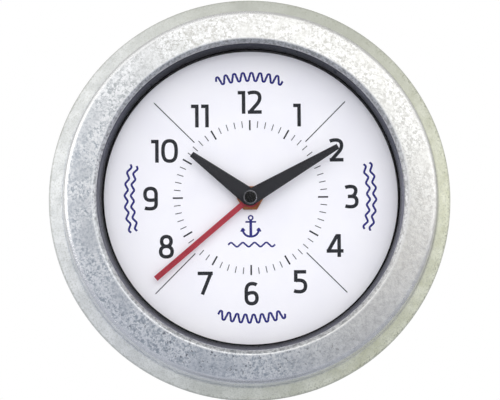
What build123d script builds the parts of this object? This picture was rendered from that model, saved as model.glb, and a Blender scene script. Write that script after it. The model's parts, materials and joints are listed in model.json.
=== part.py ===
from build123d import *

import os
from math import atan2, cos, degrees, hypot, radians, sin

# Tide clock, a round wall clock with three hands
#
# The dial faces -Y and +Z is up. The origin is where the axis of the hands meets the wall,
# and a height is a distance from the wall towards the viewer. A direction is in degrees,
# anticlockwise from +X as the viewer sees it, and an hour angle clockwise from 12.

# Driving sizes of the case, in millimetres
flange_radius = 110.0
flange_edge_height = 8.6
flange_edge_depth = 3.4
hem_width = 2.4
hem_rise = 0.8
flange_width = 7.4
drum_base_height = 13.0
drum_lean = 1.6
drum_top_height = 33.4
band_width = 15.4
rim_height = 37.2
rim_width = 2.3
lip_depth = 1.9
bezel_sheet = 1.0
rim_rounding = 0.9
band_rounding = 1.6
edge_rounding = 1.5

# Driving sizes of the glass, the dial and the rings around them
glass_lap = 8.7
glass_thickness = 2.5
glass_edge_bevel = 0.4
gasket_thickness = 0.8
gasket_width = 5.0
dial_thickness = 1.0
dial_height = 20.0
dial_to_glass = 10.0
spacer_width = 3.7
spacer_step_width = 1.2
spacer_step_height = 6.5
spacer_bevel_height = 1.75
spacer_wall = 1.6
spacer_top_thickness = 1.5
spacer_rim_width = 1.2
spacer_rim_height = 1.4
glass_side_clearance = 0.3

# Driving sizes of the rear casing
casing_back = 2.5
casing_wall = 2.5
casing_flange_inset = 1.6
case_screw_inset = 3.7
case_screw_count = 4
case_screw_direction = 45.0
movement_gap = 1.5
casing_rib_count = 8
casing_rib_thickness = 1.6
casing_rib_height = 4.0
casing_rib_clearance = 6.0

# Driving sizes of the screws
case_screw_thread_radius = 1.5
case_screw_head_radius = 2.7
case_screw_head_depth = 1.4
small_screw_thread_radius = 0.7
small_screw_head_radius = 1.4
small_screw_head_depth = 0.7
screw_clearance = 0.2
thread_clearance = 0.05
drive_slot_width = 0.5
drive_slot_depth = 0.4

# Driving sizes of the brackets that hold the bezel
bracket_sheet = 1.2
bracket_arc = 8.0
bracket_reach = 4.0
bracket_height = 22.0
weld_gap = 0.05

# Driving sizes of the hanger
hanger_inset = 19.5
hanger_width = 34.0
hanger_length = 26.0
hanger_sheet = 1.5
hanger_corner = 3.0
keyhole_entry_radius = 4.5
keyhole_slot_radius = 2.25
keyhole_slot_rise = 8.0
keyhole_room = 2.0
hanger_screw_spacing = 26.0
hanger_boss_radius = 3.0
hanger_boss_height = 7.0

# Driving sizes of the movement's case
movement_top = 34.0
movement_bottom = 40.0
movement_back_height = 2.0
movement_split_height = 9.0
movement_corner = 3.0
movement_wall = 1.0
post_radius = 2.2
post_inset = 5.0
post_top = 29.0
post_bottom = 17.0
post_screw_length = 11.5
pivot_depth = 0.6
pivot_radius = 0.4
running_clearance = 0.06
end_shake = 0.1

# Driving sizes of the stack on the axis of the hands
rubber_washer_thickness = 1.0
rubber_washer_radius = 9.0
bushing_radius = 4.5
bushing_bore = 3.2
bushing_flange_radius = 6.0
bushing_flange_thickness = 0.6
bushing_stand = 3.0
dial_hole_clearance = 0.3
brass_washer_thickness = 0.6
brass_washer_radius = 6.2
nut_across_flats = 12.8
nut_thickness = 2.0
tide_pipe_radius = 3.14
tide_pipe_bore = 2.36
hour_pipe_radius = 2.3
hour_pipe_bore = 1.61
arbor_radius = 1.55
arbor_thin_radius = 1.0
arbor_thread_radius = 1.25
cap_radius = 3.95
cap_height = 2.2
cap_bevel = 0.85
cap_thread_length = 1.5

# Driving sizes of the hands
hand_thickness = 0.5
tide_hand_above_nut = 0.7
hour_hand_above_tide_hand = 1.1
minute_hand_above_hour_hand = 1.1
pipe_stand = 0.2
minute_hand_margin = 24.4
minute_hand_root_width = 8.0
minute_hand_tip_width = 2.9
minute_hand_hour_angle = 60.2
hour_hand_margin = 39.9
hour_hand_root_width = 8.8
hour_hand_tip_width = 3.1
hour_hand_hour_angle = 307.1
tide_hand_margin = 11.95
tide_hand_width = 3.05
tide_hand_hub_radius = 5.2
tide_hand_hour_angle = 229.8
hand_press_gap = 0.02

# Driving sizes of the wheels
wheel_thickness = 1.0
layer_pitch = 1.4
layer_margin = 0.3
middle_plate_thickness = 1.0
tide_module = 0.3
motion_module = 0.5
going_module = 0.25
tooth_top_share = 0.6
tooth_root_share = 1.2
tooth_tip_share = 0.13
tide_drive_teeth = 57
tide_idler_teeth = 59
tide_wheel_teeth = 58
cannon_teeth = 10
minute_wheel_teeth = 30
minute_pinion_teeth = 8
hour_wheel_teeth = 32
centre_wheel_teeth = 64
third_pinion_teeth = 8
third_wheel_teeth = 60
fourth_pinion_teeth = 8
fourth_wheel_teeth = 50
fifth_pinion_teeth = 10
fifth_wheel_teeth = 48
rotor_pinion_teeth = 8
setting_arbor_radius = 0.8
arbor_shaft_radius = 0.6
idler_hub_radius = 2.0

# Directions of each arbor from the arbor that it meshes with
half_turn = 180.0
minute_wheel_direction = 270.0
tide_idler_direction = 135.0
third_wheel_direction = -20.0
fourth_wheel_direction = 60.0
fifth_wheel_direction = 70.0
rotor_direction = 130.0

# Driving sizes of the motor, the board and the battery
magnet_radius = 2.6
magnet_length = 3.0
stator_air_gap = 0.6
stator_thickness = 1.0
stator_height = 7.2
stator_bar = 2.0
stator_side = 3.2
stator_left = 10.0
stator_to_post = 5.5
stator_top = 27.2
coil_radius = 2.2
coil_flange_radius = 2.4
coil_flange_thickness = 1.0
coil_inset = 4.5
coil_length = 20.0
coil_core_clearance = 0.1
board_thickness = 1.0
board_height = 5.0
board_strip_height = 6.0
board_strip_bottom = 21.0
board_side_to_axis = 5.4
board_side_height = 25.0
board_support_side = 4.0
board_support_below_axis = 3.0
chip_radius = 3.0
chip_height = 1.2
chip_place = (-13.0, -4.0)
crystal_radius = 1.0
crystal_length = 6.0
crystal_inset = 6.0
crystal_below_axis = 9.0
battery_radius = 7.1
battery_length = 49.5
battery_terminal_radius = 2.6
battery_terminal_length = 1.0
battery_edge_rounding = 0.8
battery_below_axis = 30.8
battery_gap = 0.3
battery_end_room = 3.75
bay_wall_below_axis = 21.3
contact_sheet = 0.3
contact_width = 9.0
contact_tail_width = 2.0
contact_tail_length = 9.0
contact_touch_gap = 0.1

# Driving sizes of the setting knobs
knob_thickness = 1.4
time_knob_radius = 6.0
tide_knob_radius = 4.5
knob_grips = 12
knob_above_wall = 0.5

# Radii and lengths that follow from the driving sizes, from the flange inwards
drum_base_radius = flange_radius - flange_width
drum_top_radius = drum_base_radius - drum_lean
rim_radius = drum_top_radius - band_width
lip_radius = rim_radius - rim_width
glass_radius = lip_radius + glass_lap
dial_radius = glass_radius + glass_side_clearance + spacer_rim_width
dial_window_radius = lip_radius - spacer_width
casing_flange_radius = drum_base_radius - casing_flange_inset
case_screw_radius = casing_flange_radius - case_screw_inset
hanger_height_on_dial = dial_radius - hanger_inset
minute_hand_length = dial_window_radius - minute_hand_margin
hour_hand_length = dial_window_radius - hour_hand_margin
tide_hand_length = dial_window_radius - tide_hand_margin

# Widths in the movement that follow from the battery's length
movement_width = battery_length + battery_terminal_length + 2 * (battery_end_room + movement_wall)
post_side = movement_width / 2 - post_inset
stator_right = post_side - stator_to_post
coil_right = stator_right - coil_inset
coil_left = coil_length - coil_right

# Heights that follow from the driving sizes
glass_back_height = dial_height + dial_to_glass
glass_front_height = glass_back_height + glass_thickness
lip_height = glass_front_height + gasket_thickness
dial_back_height = dial_height - dial_thickness
movement_front_height = dial_back_height - rubber_washer_thickness
front_plate_height = movement_front_height - movement_wall
back_plate_height = movement_back_height + movement_wall
tide_layer = front_plate_height - layer_margin - wheel_thickness
drive_layer = tide_layer - layer_pitch
hour_layer = drive_layer - layer_pitch
cannon_layer = hour_layer - layer_pitch
middle_plate_top = cannon_layer - layer_margin
middle_plate_height = middle_plate_top - middle_plate_thickness
centre_layer = middle_plate_height - layer_margin - end_shake - wheel_thickness
third_layer = centre_layer - layer_pitch
fourth_layer = third_layer - layer_pitch
fifth_layer = fourth_layer - layer_pitch
nut_height = dial_height + brass_washer_thickness
nut_top_height = nut_height + nut_thickness
bushing_top_height = dial_height + bushing_stand
tide_hand_height = nut_top_height + tide_hand_above_nut
hour_hand_height = tide_hand_height + hand_thickness + hour_hand_above_tide_hand
minute_hand_height = hour_hand_height + hand_thickness + minute_hand_above_hour_hand
cap_base_height = minute_hand_height + hand_thickness

# Planes: the plane of the wall, seen from the front, and a section through the axis
wall = Plane.XZ
section = Plane(origin=(0, 0, 0), x_dir=(1, 0, 0), z_dir=(0, 0, -1))


def away(start, distance, direction):
    """The place at a distance and in a direction from another, as seen from the front."""
    angle = radians(direction)
    return (start[0] + distance * cos(angle), start[1] + distance * sin(angle))


def centre_distance(module, teeth, other_teeth):
    """How far apart the arbors of two meshed wheels stand."""
    return module * (teeth + other_teeth) / 2


def toothed_outline(teeth, module, direction, space_first=False):
    """The corners of a toothed wheel with a tooth, or a space, centred on a direction."""
    pitch = 360 / teeth
    first = direction + (pitch / 2 if space_first else 0)
    tip_radius = module * (teeth / 2 + tooth_top_share)
    root_radius = module * (teeth / 2 - tooth_root_share)
    half_tip = pitch * tooth_tip_share / 2
    corners = []
    for tooth in range(teeth):
        middle = first + tooth * pitch
        corners.append(away((0, 0), tip_radius, middle - half_tip))
        corners.append(away((0, 0), tip_radius, middle + half_tip))
        corners.append(away((0, 0), root_radius, middle + pitch / 2))
    return corners


def parallel_path(points, distance):
    """The points of a path that runs beside another, on its right, with sharp corners."""
    normals = []
    for start, end in zip(points, points[1:]):
        length = hypot(end[0] - start[0], end[1] - start[1])
        normals.append(((end[1] - start[1]) / length, (start[0] - end[0]) / length))
    beside = []
    for index, point in enumerate(points):
        before = normals[max(index - 1, 0)]
        after = normals[min(index, len(normals) - 1)]
        spread = 1 + before[0] * after[0] + before[1] * after[1]
        shift_x = distance * (before[0] + after[0]) / spread
        shift_y = distance * (before[1] + after[1]) / spread
        beside.append((point[0] + shift_x, point[1] + shift_y))
    return beside


os.makedirs("parts", exist_ok=True)

# Places of the arbors, seen from the front
hub = (0.0, 0.0)
minute_wheel_place = away(
    hub, centre_distance(motion_module, cannon_teeth, minute_wheel_teeth), minute_wheel_direction
)
tide_idler_place = away(
    hub, centre_distance(tide_module, tide_drive_teeth, tide_idler_teeth), tide_idler_direction
)
third_place = away(
    hub, centre_distance(going_module, centre_wheel_teeth, third_pinion_teeth), third_wheel_direction
)
fourth_place = away(
    third_place,
    centre_distance(going_module, third_wheel_teeth, fourth_pinion_teeth),
    fourth_wheel_direction,
)
fifth_place = away(
    fourth_place,
    centre_distance(going_module, fourth_wheel_teeth, fifth_pinion_teeth),
    fifth_wheel_direction,
)
rotor_place = away(
    fifth_place,
    centre_distance(going_module, fifth_wheel_teeth, rotor_pinion_teeth),
    rotor_direction,
)
train_places = [third_place, fourth_place, fifth_place, rotor_place]
post_places = [
    (-post_side, post_top),
    (post_side, post_top),
    (-post_side, -post_bottom),
    (post_side, -post_bottom),
]

# Front bezel: one pressed sheet from the lip over the glass to the rolled edge
bezel_front = [
    (lip_radius, lip_height),
    (lip_radius, lip_height + lip_depth),
    (rim_radius, rim_height),
    (drum_top_radius, drum_top_height),
    (drum_base_radius, drum_base_height),
    (flange_radius, flange_edge_height),
    (flange_radius, flange_edge_height - flange_edge_depth),
    (flange_radius - hem_width, flange_edge_height - flange_edge_depth - hem_rise),
]
bezel_back = parallel_path(bezel_front, bezel_sheet)
# the lip ends flat on the gasket, one sheet wide
bezel_back[0] = (lip_radius + bezel_sheet, lip_height)
with BuildPart() as front_bezel:
    with BuildSketch(section) as bezel_profile:
        with BuildLine():
            Polyline(*bezel_front, *reversed(bezel_back), close=True)
        make_face()
        corners = bezel_profile.vertices()
        rim = corners.sort_by_distance((rim_radius, rim_height, 0))[0]
        band = corners.sort_by_distance((drum_top_radius, drum_top_height, 0))[0]
        edge = corners.sort_by_distance((flange_radius, flange_edge_height, 0))[0]
        fillet(rim, radius=rim_rounding)
        fillet(band, radius=band_rounding)
        fillet(edge, radius=edge_rounding)
    revolve(axis=Axis.Y)
front_bezel.part.label = "front_bezel"
export_step(front_bezel.part, "parts/front_bezel.step")

# Glass lens, a flat disc with bevelled edges
with BuildPart() as glass_lens:
    with BuildSketch(wall.offset(glass_back_height)):
        Circle(glass_radius)
    extrude(amount=glass_thickness)
    chamfer(glass_lens.edges(), length=glass_edge_bevel)
glass_lens.part.label = "glass_lens"
export_step(glass_lens.part, "parts/glass_lens.step")

# Lens gasket between the glass and the bezel's lip
gasket_inner_radius = lip_radius + bezel_sheet / 4
with BuildPart() as lens_gasket:
    with BuildSketch(wall.offset(glass_front_height)):
        Circle(gasket_inner_radius + gasket_width)
        Circle(gasket_inner_radius, mode=Mode.SUBTRACT)
    extrude(amount=gasket_thickness)
lens_gasket.part.label = "lens_gasket"
export_step(lens_gasket.part, "parts/lens_gasket.step")

# Dial spacer ring: a stepped wall round the dial with a bevel, and a seat for the glass
seat_inner_radius = lip_radius
spacer_inner_radius = dial_window_radius + spacer_step_width
spacer_outer_radius = spacer_inner_radius + spacer_wall
with BuildPart() as dial_spacer_ring:
    with BuildSketch(section):
        with BuildLine():
            Polyline(
                (dial_window_radius, dial_height),
                (dial_window_radius, dial_height + spacer_step_height),
                (spacer_inner_radius, dial_height + spacer_step_height),
                (spacer_inner_radius, glass_back_height - spacer_bevel_height),
                (seat_inner_radius, glass_back_height),
                (glass_radius + glass_side_clearance, glass_back_height),
                (glass_radius + glass_side_clearance, glass_back_height + spacer_rim_height),
                (dial_radius, glass_back_height + spacer_rim_height),
                (dial_radius, glass_back_height - spacer_top_thickness),
                (spacer_outer_radius, glass_back_height - spacer_top_thickness),
                (spacer_outer_radius, dial_height),
                close=True,
            )
        make_face()
    revolve(axis=Axis.Y)
dial_spacer_ring.part.label = "dial_spacer_ring"
export_step(dial_spacer_ring.part, "parts/dial_spacer_ring.step")

# Dial plate, with the hole for the bushing
with BuildPart() as dial_plate:
    with BuildSketch(wall.offset(dial_back_height)):
        Circle(dial_radius)
        Circle(bushing_radius + dial_hole_clearance, mode=Mode.SUBTRACT)
    extrude(amount=dial_thickness)
dial_plate.part.label = "dial_plate"
export_step(dial_plate.part, "parts/dial_plate.step")

# Rear casing: a dish that carries the dial on its wall, with a flange for the screws
casing_inner_radius = dial_radius - casing_wall
casing_opening_width = movement_width + 2 * movement_gap
casing_opening_height = movement_top + movement_bottom + 2 * movement_gap
movement_middle = (movement_top - movement_bottom) / 2
keyhole_window_width = 2 * (keyhole_entry_radius + keyhole_room)
keyhole_window_height = keyhole_window_width + keyhole_slot_rise
keyhole_window_middle = hanger_height_on_dial + keyhole_slot_rise / 2
hanger_middle = keyhole_window_middle
rib_outer = casing_inner_radius - casing_wall / 2
rib_inner = hypot(casing_opening_width, casing_opening_height) / 2 + casing_rib_clearance
with BuildPart() as rear_casing:
    with BuildSketch(section):
        with BuildLine():
            Polyline(
                (0, 0),
                (casing_flange_radius, 0),
                (casing_flange_radius, casing_back),
                (dial_radius, casing_back),
                (dial_radius, dial_back_height),
                (casing_inner_radius, dial_back_height),
                (casing_inner_radius, casing_back),
                (0, casing_back),
                close=True,
            )
        make_face()
    revolve(axis=Axis.Y)
    # ribs that stiffen the back between the opening and the wall
    with BuildSketch(wall.offset(casing_back)):
        with PolarLocations(0, casing_rib_count, start_angle=half_turn / casing_rib_count):
            with Locations(((rib_inner + rib_outer) / 2, 0)):
                Rectangle(rib_outer - rib_inner, casing_rib_thickness)
    extrude(amount=casing_rib_height)
    # bosses for the hanger's screws
    with BuildSketch(wall.offset(casing_back)):
        with Locations((0, hanger_middle)):
            with GridLocations(hanger_screw_spacing, 0, 2, 1):
                Circle(hanger_boss_radius)
    extrude(amount=hanger_boss_height)
    # the opening behind the movement
    with BuildSketch(wall):
        with Locations((0, movement_middle)):
            RectangleRounded(casing_opening_width, casing_opening_height, movement_corner)
    extrude(amount=casing_back, mode=Mode.SUBTRACT)
    # the hanger's recess, the room behind its keyhole and its pilot holes
    with BuildSketch(wall):
        with Locations((0, hanger_middle)):
            RectangleRounded(
                hanger_width + 2 * screw_clearance,
                hanger_length + 2 * screw_clearance,
                hanger_corner,
            )
    extrude(amount=hanger_sheet, mode=Mode.SUBTRACT)
    with BuildSketch(wall):
        with Locations((0, keyhole_window_middle)):
            RectangleRounded(keyhole_window_width, keyhole_window_height, hanger_corner)
    extrude(amount=casing_back, mode=Mode.SUBTRACT)
    with BuildSketch(wall):
        with Locations((0, hanger_middle)):
            with GridLocations(hanger_screw_spacing, 0, 2, 1):
                Circle(case_screw_thread_radius + thread_clearance)
    extrude(amount=casing_back + hanger_boss_height - casing_wall / 2, mode=Mode.SUBTRACT)
    # holes and head recesses for the case screws
    with BuildSketch(wall):
        with PolarLocations(case_screw_radius, case_screw_count, case_screw_direction):
            Circle(case_screw_thread_radius + screw_clearance)
    extrude(amount=casing_back, mode=Mode.SUBTRACT)
    with BuildSketch(wall):
        with PolarLocations(case_screw_radius, case_screw_count, case_screw_direction):
            Circle(case_screw_head_radius + screw_clearance)
    extrude(amount=case_screw_head_depth, mode=Mode.SUBTRACT)
rear_casing.part.label = "rear_casing"
export_step(rear_casing.part, "parts/rear_casing.step")


def drum_inside(height):
    """The radius of the drum's inner face at a height."""
    slope = (drum_top_radius - drum_base_radius) / (drum_top_height - drum_base_height)
    lean = degrees(atan2(drum_base_radius - drum_top_radius, drum_top_height - drum_base_height))
    outside = drum_base_radius + slope * (height - drum_base_height)
    return outside - bezel_sheet / cos(radians(lean)) - weld_gap


# Bezel brackets: angles welded inside the drum, with a tapped foot over the casing's flange
bracket_knee = drum_base_height - bracket_sheet / 2
bracket_foot_top = casing_back + bracket_sheet
bracket_inner_radius = case_screw_radius - bracket_reach + bracket_sheet / 2
with BuildPart() as bezel_brackets:
    for number in range(case_screw_count):
        middle = case_screw_direction + number * 360 / case_screw_count
        start = radians(middle + bracket_arc / 2)
        turned = Plane(
            origin=(0, 0, 0),
            x_dir=(cos(start), 0, sin(start)),
            z_dir=(sin(start), 0, -cos(start)),
        )
        with BuildSketch(turned):
            with BuildLine():
                Polyline(
                    (bracket_inner_radius, casing_back),
                    (drum_inside(bracket_knee), casing_back),
                    (drum_inside(bracket_knee), bracket_knee),
                    (drum_inside(bracket_height), bracket_height),
                    (drum_inside(bracket_height) - bracket_sheet, bracket_height),
                    (drum_inside(bracket_knee) - bracket_sheet, bracket_knee),
                    (drum_inside(bracket_knee) - bracket_sheet, bracket_foot_top),
                    (bracket_inner_radius, bracket_foot_top),
                    close=True,
                )
            make_face()
        revolve(axis=Axis.Y, revolution_arc=bracket_arc)
    with BuildSketch(wall.offset(casing_back)):
        with PolarLocations(case_screw_radius, case_screw_count, case_screw_direction):
            Circle(case_screw_thread_radius + thread_clearance)
    extrude(amount=bracket_sheet, mode=Mode.SUBTRACT)
bezel_brackets.part.label = "bezel_brackets"
export_step(bezel_brackets.part, "parts/bezel_brackets.step")

# Case screws, from behind through the casing's flange into the brackets
case_screw_tip = bracket_foot_top + bracket_sheet
with BuildPart() as case_screws:
    with BuildSketch(wall):
        with PolarLocations(case_screw_radius, case_screw_count, case_screw_direction):
            Circle(case_screw_head_radius)
    extrude(amount=case_screw_head_depth)
    with BuildSketch(wall):
        with PolarLocations(case_screw_radius, case_screw_count, case_screw_direction):
            Circle(case_screw_thread_radius)
    extrude(amount=case_screw_tip)
    with BuildSketch(wall):
        with PolarLocations(case_screw_radius, case_screw_count, case_screw_direction):
            Rectangle(2 * case_screw_head_radius, drive_slot_width)
    extrude(amount=drive_slot_depth, mode=Mode.SUBTRACT)
case_screws.part.label = "case_screws"
export_step(case_screws.part, "parts/case_screws.step")

# Hanger plate with its keyhole, let into the casing's back
hanger_screw_places = [
    (-hanger_screw_spacing / 2, hanger_middle),
    (hanger_screw_spacing / 2, hanger_middle),
]
with BuildPart() as hanger_plate:
    with BuildSketch(wall):
        with Locations((0, hanger_middle)):
            RectangleRounded(hanger_width, hanger_length, hanger_corner)
        with Locations((0, hanger_height_on_dial)):
            Circle(keyhole_entry_radius, mode=Mode.SUBTRACT)
        with Locations((0, hanger_height_on_dial + keyhole_slot_rise / 2)):
            SlotCenterToCenter(keyhole_slot_rise, 2 * keyhole_slot_radius, 90, mode=Mode.SUBTRACT)
    extrude(amount=hanger_sheet)
    for place in hanger_screw_places:
        with Locations(Plane(origin=(place[0], 0, place[1]), z_dir=(0, 1, 0))):
            CounterSinkHole(
                radius=case_screw_thread_radius + screw_clearance,
                counter_sink_radius=case_screw_head_radius + screw_clearance,
                depth=hanger_sheet,
            )
hanger_plate.part.label = "hanger_plate"
export_step(hanger_plate.part, "parts/hanger_plate.step")

# Hanger screws, countersunk
hanger_screw_cone = case_screw_head_radius - case_screw_thread_radius
with BuildPart() as hanger_screws:
    with BuildSketch(wall):
        with Locations(*hanger_screw_places):
            Circle(case_screw_head_radius)
    extrude(amount=hanger_screw_cone, taper=45)
    with BuildSketch(wall):
        with Locations(*hanger_screw_places):
            Circle(case_screw_thread_radius)
    extrude(amount=hanger_boss_height)
    with BuildSketch(wall):
        with Locations(*hanger_screw_places):
            Rectangle(2 * case_screw_head_radius, drive_slot_width)
    extrude(amount=drive_slot_depth, mode=Mode.SUBTRACT)
hanger_screws.part.label = "hanger_screws"
export_step(hanger_screws.part, "parts/hanger_screws.step")

# Movement front case: the front plate and walls, the battery bay's wall and the screw posts
movement_height = movement_top + movement_bottom
inner_width = movement_width - 2 * movement_wall
inner_corner = movement_corner - movement_wall
bay_wall_middle = -(bay_wall_below_axis + movement_wall / 2)
bushing_hole_radius = bushing_radius + thread_clearance
with BuildPart() as movement_front_case:
    with BuildSketch(wall.offset(movement_split_height)):
        with Locations((0, movement_middle)):
            RectangleRounded(movement_width, movement_height, movement_corner)
    extrude(amount=movement_front_height - movement_split_height)
    with BuildSketch(wall.offset(movement_split_height)):
        with Locations((0, movement_middle)):
            RectangleRounded(inner_width, movement_height - 2 * movement_wall, inner_corner)
        with Locations((0, bay_wall_middle)):
            Rectangle(movement_width, movement_wall, mode=Mode.SUBTRACT)
    extrude(amount=front_plate_height - movement_split_height, mode=Mode.SUBTRACT)
    with BuildSketch(wall.offset(middle_plate_top)):
        with Locations(*post_places):
            Circle(post_radius)
    extrude(amount=front_plate_height - middle_plate_top)
    with BuildSketch(wall.offset(middle_plate_top)):
        with Locations(*post_places):
            Circle(small_screw_thread_radius + thread_clearance)
    extrude(amount=front_plate_height - middle_plate_top - movement_wall, mode=Mode.SUBTRACT)
    with BuildSketch(wall.offset(front_plate_height)):
        Circle(bushing_hole_radius)
    extrude(amount=movement_wall, mode=Mode.SUBTRACT)
    with BuildSketch(wall.offset(front_plate_height)):
        Circle(bushing_flange_radius + thread_clearance)
        with Locations(minute_wheel_place, tide_idler_place):
            Circle(pivot_radius + running_clearance)
    extrude(amount=pivot_depth, mode=Mode.SUBTRACT)
movement_front_case.part.label = "movement_front_case"
export_step(movement_front_case.part, "parts/movement_front_case.step")

# Movement back case: the back plate, open behind the battery, with posts, pivots and supports
bay_top = -(bay_wall_below_axis + movement_wall)
bay_bottom = -(movement_bottom - movement_wall)
bay_middle = (bay_top + bay_bottom) / 2
bay_lip = movement_wall / 2
board_support_places = [
    (-board_support_side, -post_bottom),
    (-post_side, -board_support_below_axis),
]
stator_left_middle = -(stator_left - stator_side / 2)
stator_right_middle = stator_right - stator_side / 2
stator_low = rotor_place[1] - magnet_radius - stator_air_gap - stator_air_gap
stator_support_height = (stator_low + stator_top) / 2
stator_support_places = [
    (stator_left_middle, stator_support_height),
    (stator_right_middle, stator_support_height),
]
support_radius = post_radius / 2
with BuildPart() as movement_back_case:
    with BuildSketch(wall.offset(movement_back_height)):
        with Locations((0, movement_middle)):
            RectangleRounded(movement_width, movement_height, movement_corner)
    extrude(amount=movement_split_height - movement_back_height)
    with BuildSketch(wall.offset(back_plate_height)):
        with Locations((0, movement_middle)):
            RectangleRounded(inner_width, movement_height - 2 * movement_wall, inner_corner)
        with Locations((0, bay_wall_middle)):
            Rectangle(movement_width, movement_wall, mode=Mode.SUBTRACT)
    extrude(amount=movement_split_height - back_plate_height, mode=Mode.SUBTRACT)
    with BuildSketch(wall.offset(movement_back_height)):
        with Locations((0, bay_middle)):
            RectangleRounded(inner_width - 2 * bay_lip, bay_top - bay_bottom - 2 * bay_lip, bay_lip)
    extrude(amount=movement_wall, mode=Mode.SUBTRACT)
    with BuildSketch(wall.offset(back_plate_height)):
        with Locations(*post_places):
            Circle(post_radius)
    extrude(amount=middle_plate_height - back_plate_height)
    with BuildSketch(wall.offset(back_plate_height)):
        with Locations(*stator_support_places):
            Circle(support_radius)
    extrude(amount=stator_height - back_plate_height)
    with BuildSketch(wall.offset(back_plate_height)):
        with Locations(*board_support_places):
            Circle(support_radius)
    extrude(amount=board_height - back_plate_height)
    with BuildSketch(wall.offset(movement_back_height)):
        with Locations(*post_places):
            Circle(small_screw_thread_radius + screw_clearance)
        with Locations(minute_wheel_place, tide_idler_place):
            Circle(setting_arbor_radius + running_clearance)
    extrude(amount=middle_plate_height - movement_back_height, mode=Mode.SUBTRACT)
    with BuildSketch(wall.offset(movement_back_height)):
        with Locations(*post_places):
            Circle(small_screw_head_radius + thread_clearance)
    extrude(amount=small_screw_head_depth, mode=Mode.SUBTRACT)
    with BuildSketch(wall.offset(back_plate_height)):
        with Locations(hub, *train_places):
            Circle(pivot_radius + running_clearance)
    extrude(amount=-pivot_depth, mode=Mode.SUBTRACT)
    # slots in the bay's wall for the contacts' tails
    with BuildSketch(wall.offset(board_height)):
        with Locations((0, bay_wall_middle)):
            with GridLocations(inner_width - 2 * contact_sheet, 0, 2, 1):
                Rectangle(2 * contact_sheet, movement_wall)
    extrude(amount=movement_split_height - board_height, mode=Mode.SUBTRACT)
movement_back_case.part.label = "movement_back_case"
export_step(movement_back_case.part, "parts/movement_back_case.step")

# Middle plate: it carries the front ends of the going train between the posts
middle_plate_side = inner_width / 2 - movement_wall
middle_plate_high = movement_top - 2 * movement_wall
middle_plate_low = bay_wall_below_axis - movement_wall
with BuildPart() as middle_plate:
    with BuildSketch(wall.offset(middle_plate_height)):
        with Locations((0, (middle_plate_high - middle_plate_low) / 2)):
            RectangleRounded(2 * middle_plate_side, middle_plate_high + middle_plate_low, inner_corner)
        with Locations(*post_places):
            Circle(small_screw_thread_radius + screw_clearance, mode=Mode.SUBTRACT)
        with Locations(minute_wheel_place, tide_idler_place):
            Circle(setting_arbor_radius + running_clearance, mode=Mode.SUBTRACT)
        Circle(arbor_thin_radius + running_clearance, mode=Mode.SUBTRACT)
        with Locations(*train_places):
            Circle(pivot_radius + running_clearance, mode=Mode.SUBTRACT)
    extrude(amount=middle_plate_thickness)
middle_plate.part.label = "middle_plate"
export_step(middle_plate.part, "parts/middle_plate.step")

# Movement screws, from behind through both posts
with BuildPart() as movement_screws:
    with BuildSketch(wall.offset(movement_back_height)):
        with Locations(*post_places):
            Circle(small_screw_head_radius)
    extrude(amount=small_screw_head_depth)
    with BuildSketch(wall.offset(movement_back_height)):
        with Locations(*post_places):
            Circle(small_screw_thread_radius)
    extrude(amount=post_screw_length)
    with BuildSketch(wall.offset(movement_back_height)):
        with Locations(*post_places):
            Rectangle(2 * small_screw_head_radius, drive_slot_width)
    extrude(amount=drive_slot_depth, mode=Mode.SUBTRACT)
movement_screws.part.label = "movement_screws"
export_step(movement_screws.part, "parts/movement_screws.step")

# Threaded bushing, pressed into the front plate and standing out through the dial
with BuildPart() as threaded_bushing:
    with BuildSketch(wall.offset(front_plate_height)):
        Circle(bushing_flange_radius)
    extrude(amount=bushing_flange_thickness)
    with BuildSketch(wall.offset(front_plate_height)):
        Circle(bushing_radius)
    extrude(amount=bushing_top_height - front_plate_height)
    with BuildSketch(wall.offset(front_plate_height)):
        Circle(bushing_bore)
    extrude(amount=bushing_top_height - front_plate_height, mode=Mode.SUBTRACT)
threaded_bushing.part.label = "threaded_bushing"
export_step(threaded_bushing.part, "parts/threaded_bushing.step")

# Rubber washer behind the dial
with BuildPart() as rubber_washer:
    with BuildSketch(wall.offset(movement_front_height)):
        Circle(rubber_washer_radius)
        Circle(bushing_hole_radius, mode=Mode.SUBTRACT)
    extrude(amount=rubber_washer_thickness)
rubber_washer.part.label = "rubber_washer"
export_step(rubber_washer.part, "parts/rubber_washer.step")

# Brass washer in front of the dial
with BuildPart() as brass_washer:
    with BuildSketch(wall.offset(dial_height)):
        Circle(brass_washer_radius)
        Circle(bushing_hole_radius, mode=Mode.SUBTRACT)
    extrude(amount=brass_washer_thickness)
brass_washer.part.label = "brass_washer"
export_step(brass_washer.part, "parts/brass_washer.step")

# Hex nut that clamps the movement to the dial
with BuildPart() as hex_nut:
    with BuildSketch(wall.offset(nut_height)):
        RegularPolygon(nut_across_flats / 2, 6, major_radius=False)
    extrude(amount=nut_thickness)
    chamfer(hex_nut.faces().sort_by(Axis.Y)[0].edges(), length=brass_washer_thickness / 2)
    with BuildSketch(wall.offset(nut_height)):
        Circle(bushing_hole_radius)
    extrude(amount=nut_thickness, mode=Mode.SUBTRACT)
hex_nut.part.label = "hex_nut"
export_step(hex_nut.part, "parts/hex_nut.step")


def toothed_face(height, place, teeth, module, direction, space_first=False):
    """A toothed wheel's outline as a face at a height."""
    outline = toothed_outline(teeth, module, direction, space_first)
    with BuildSketch(wall.offset(height)) as face:
        with BuildLine():
            Polyline(*[(place[0] + x, place[1] + z) for x, z in outline], close=True)
        make_face()
    return face.sketch


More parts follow.
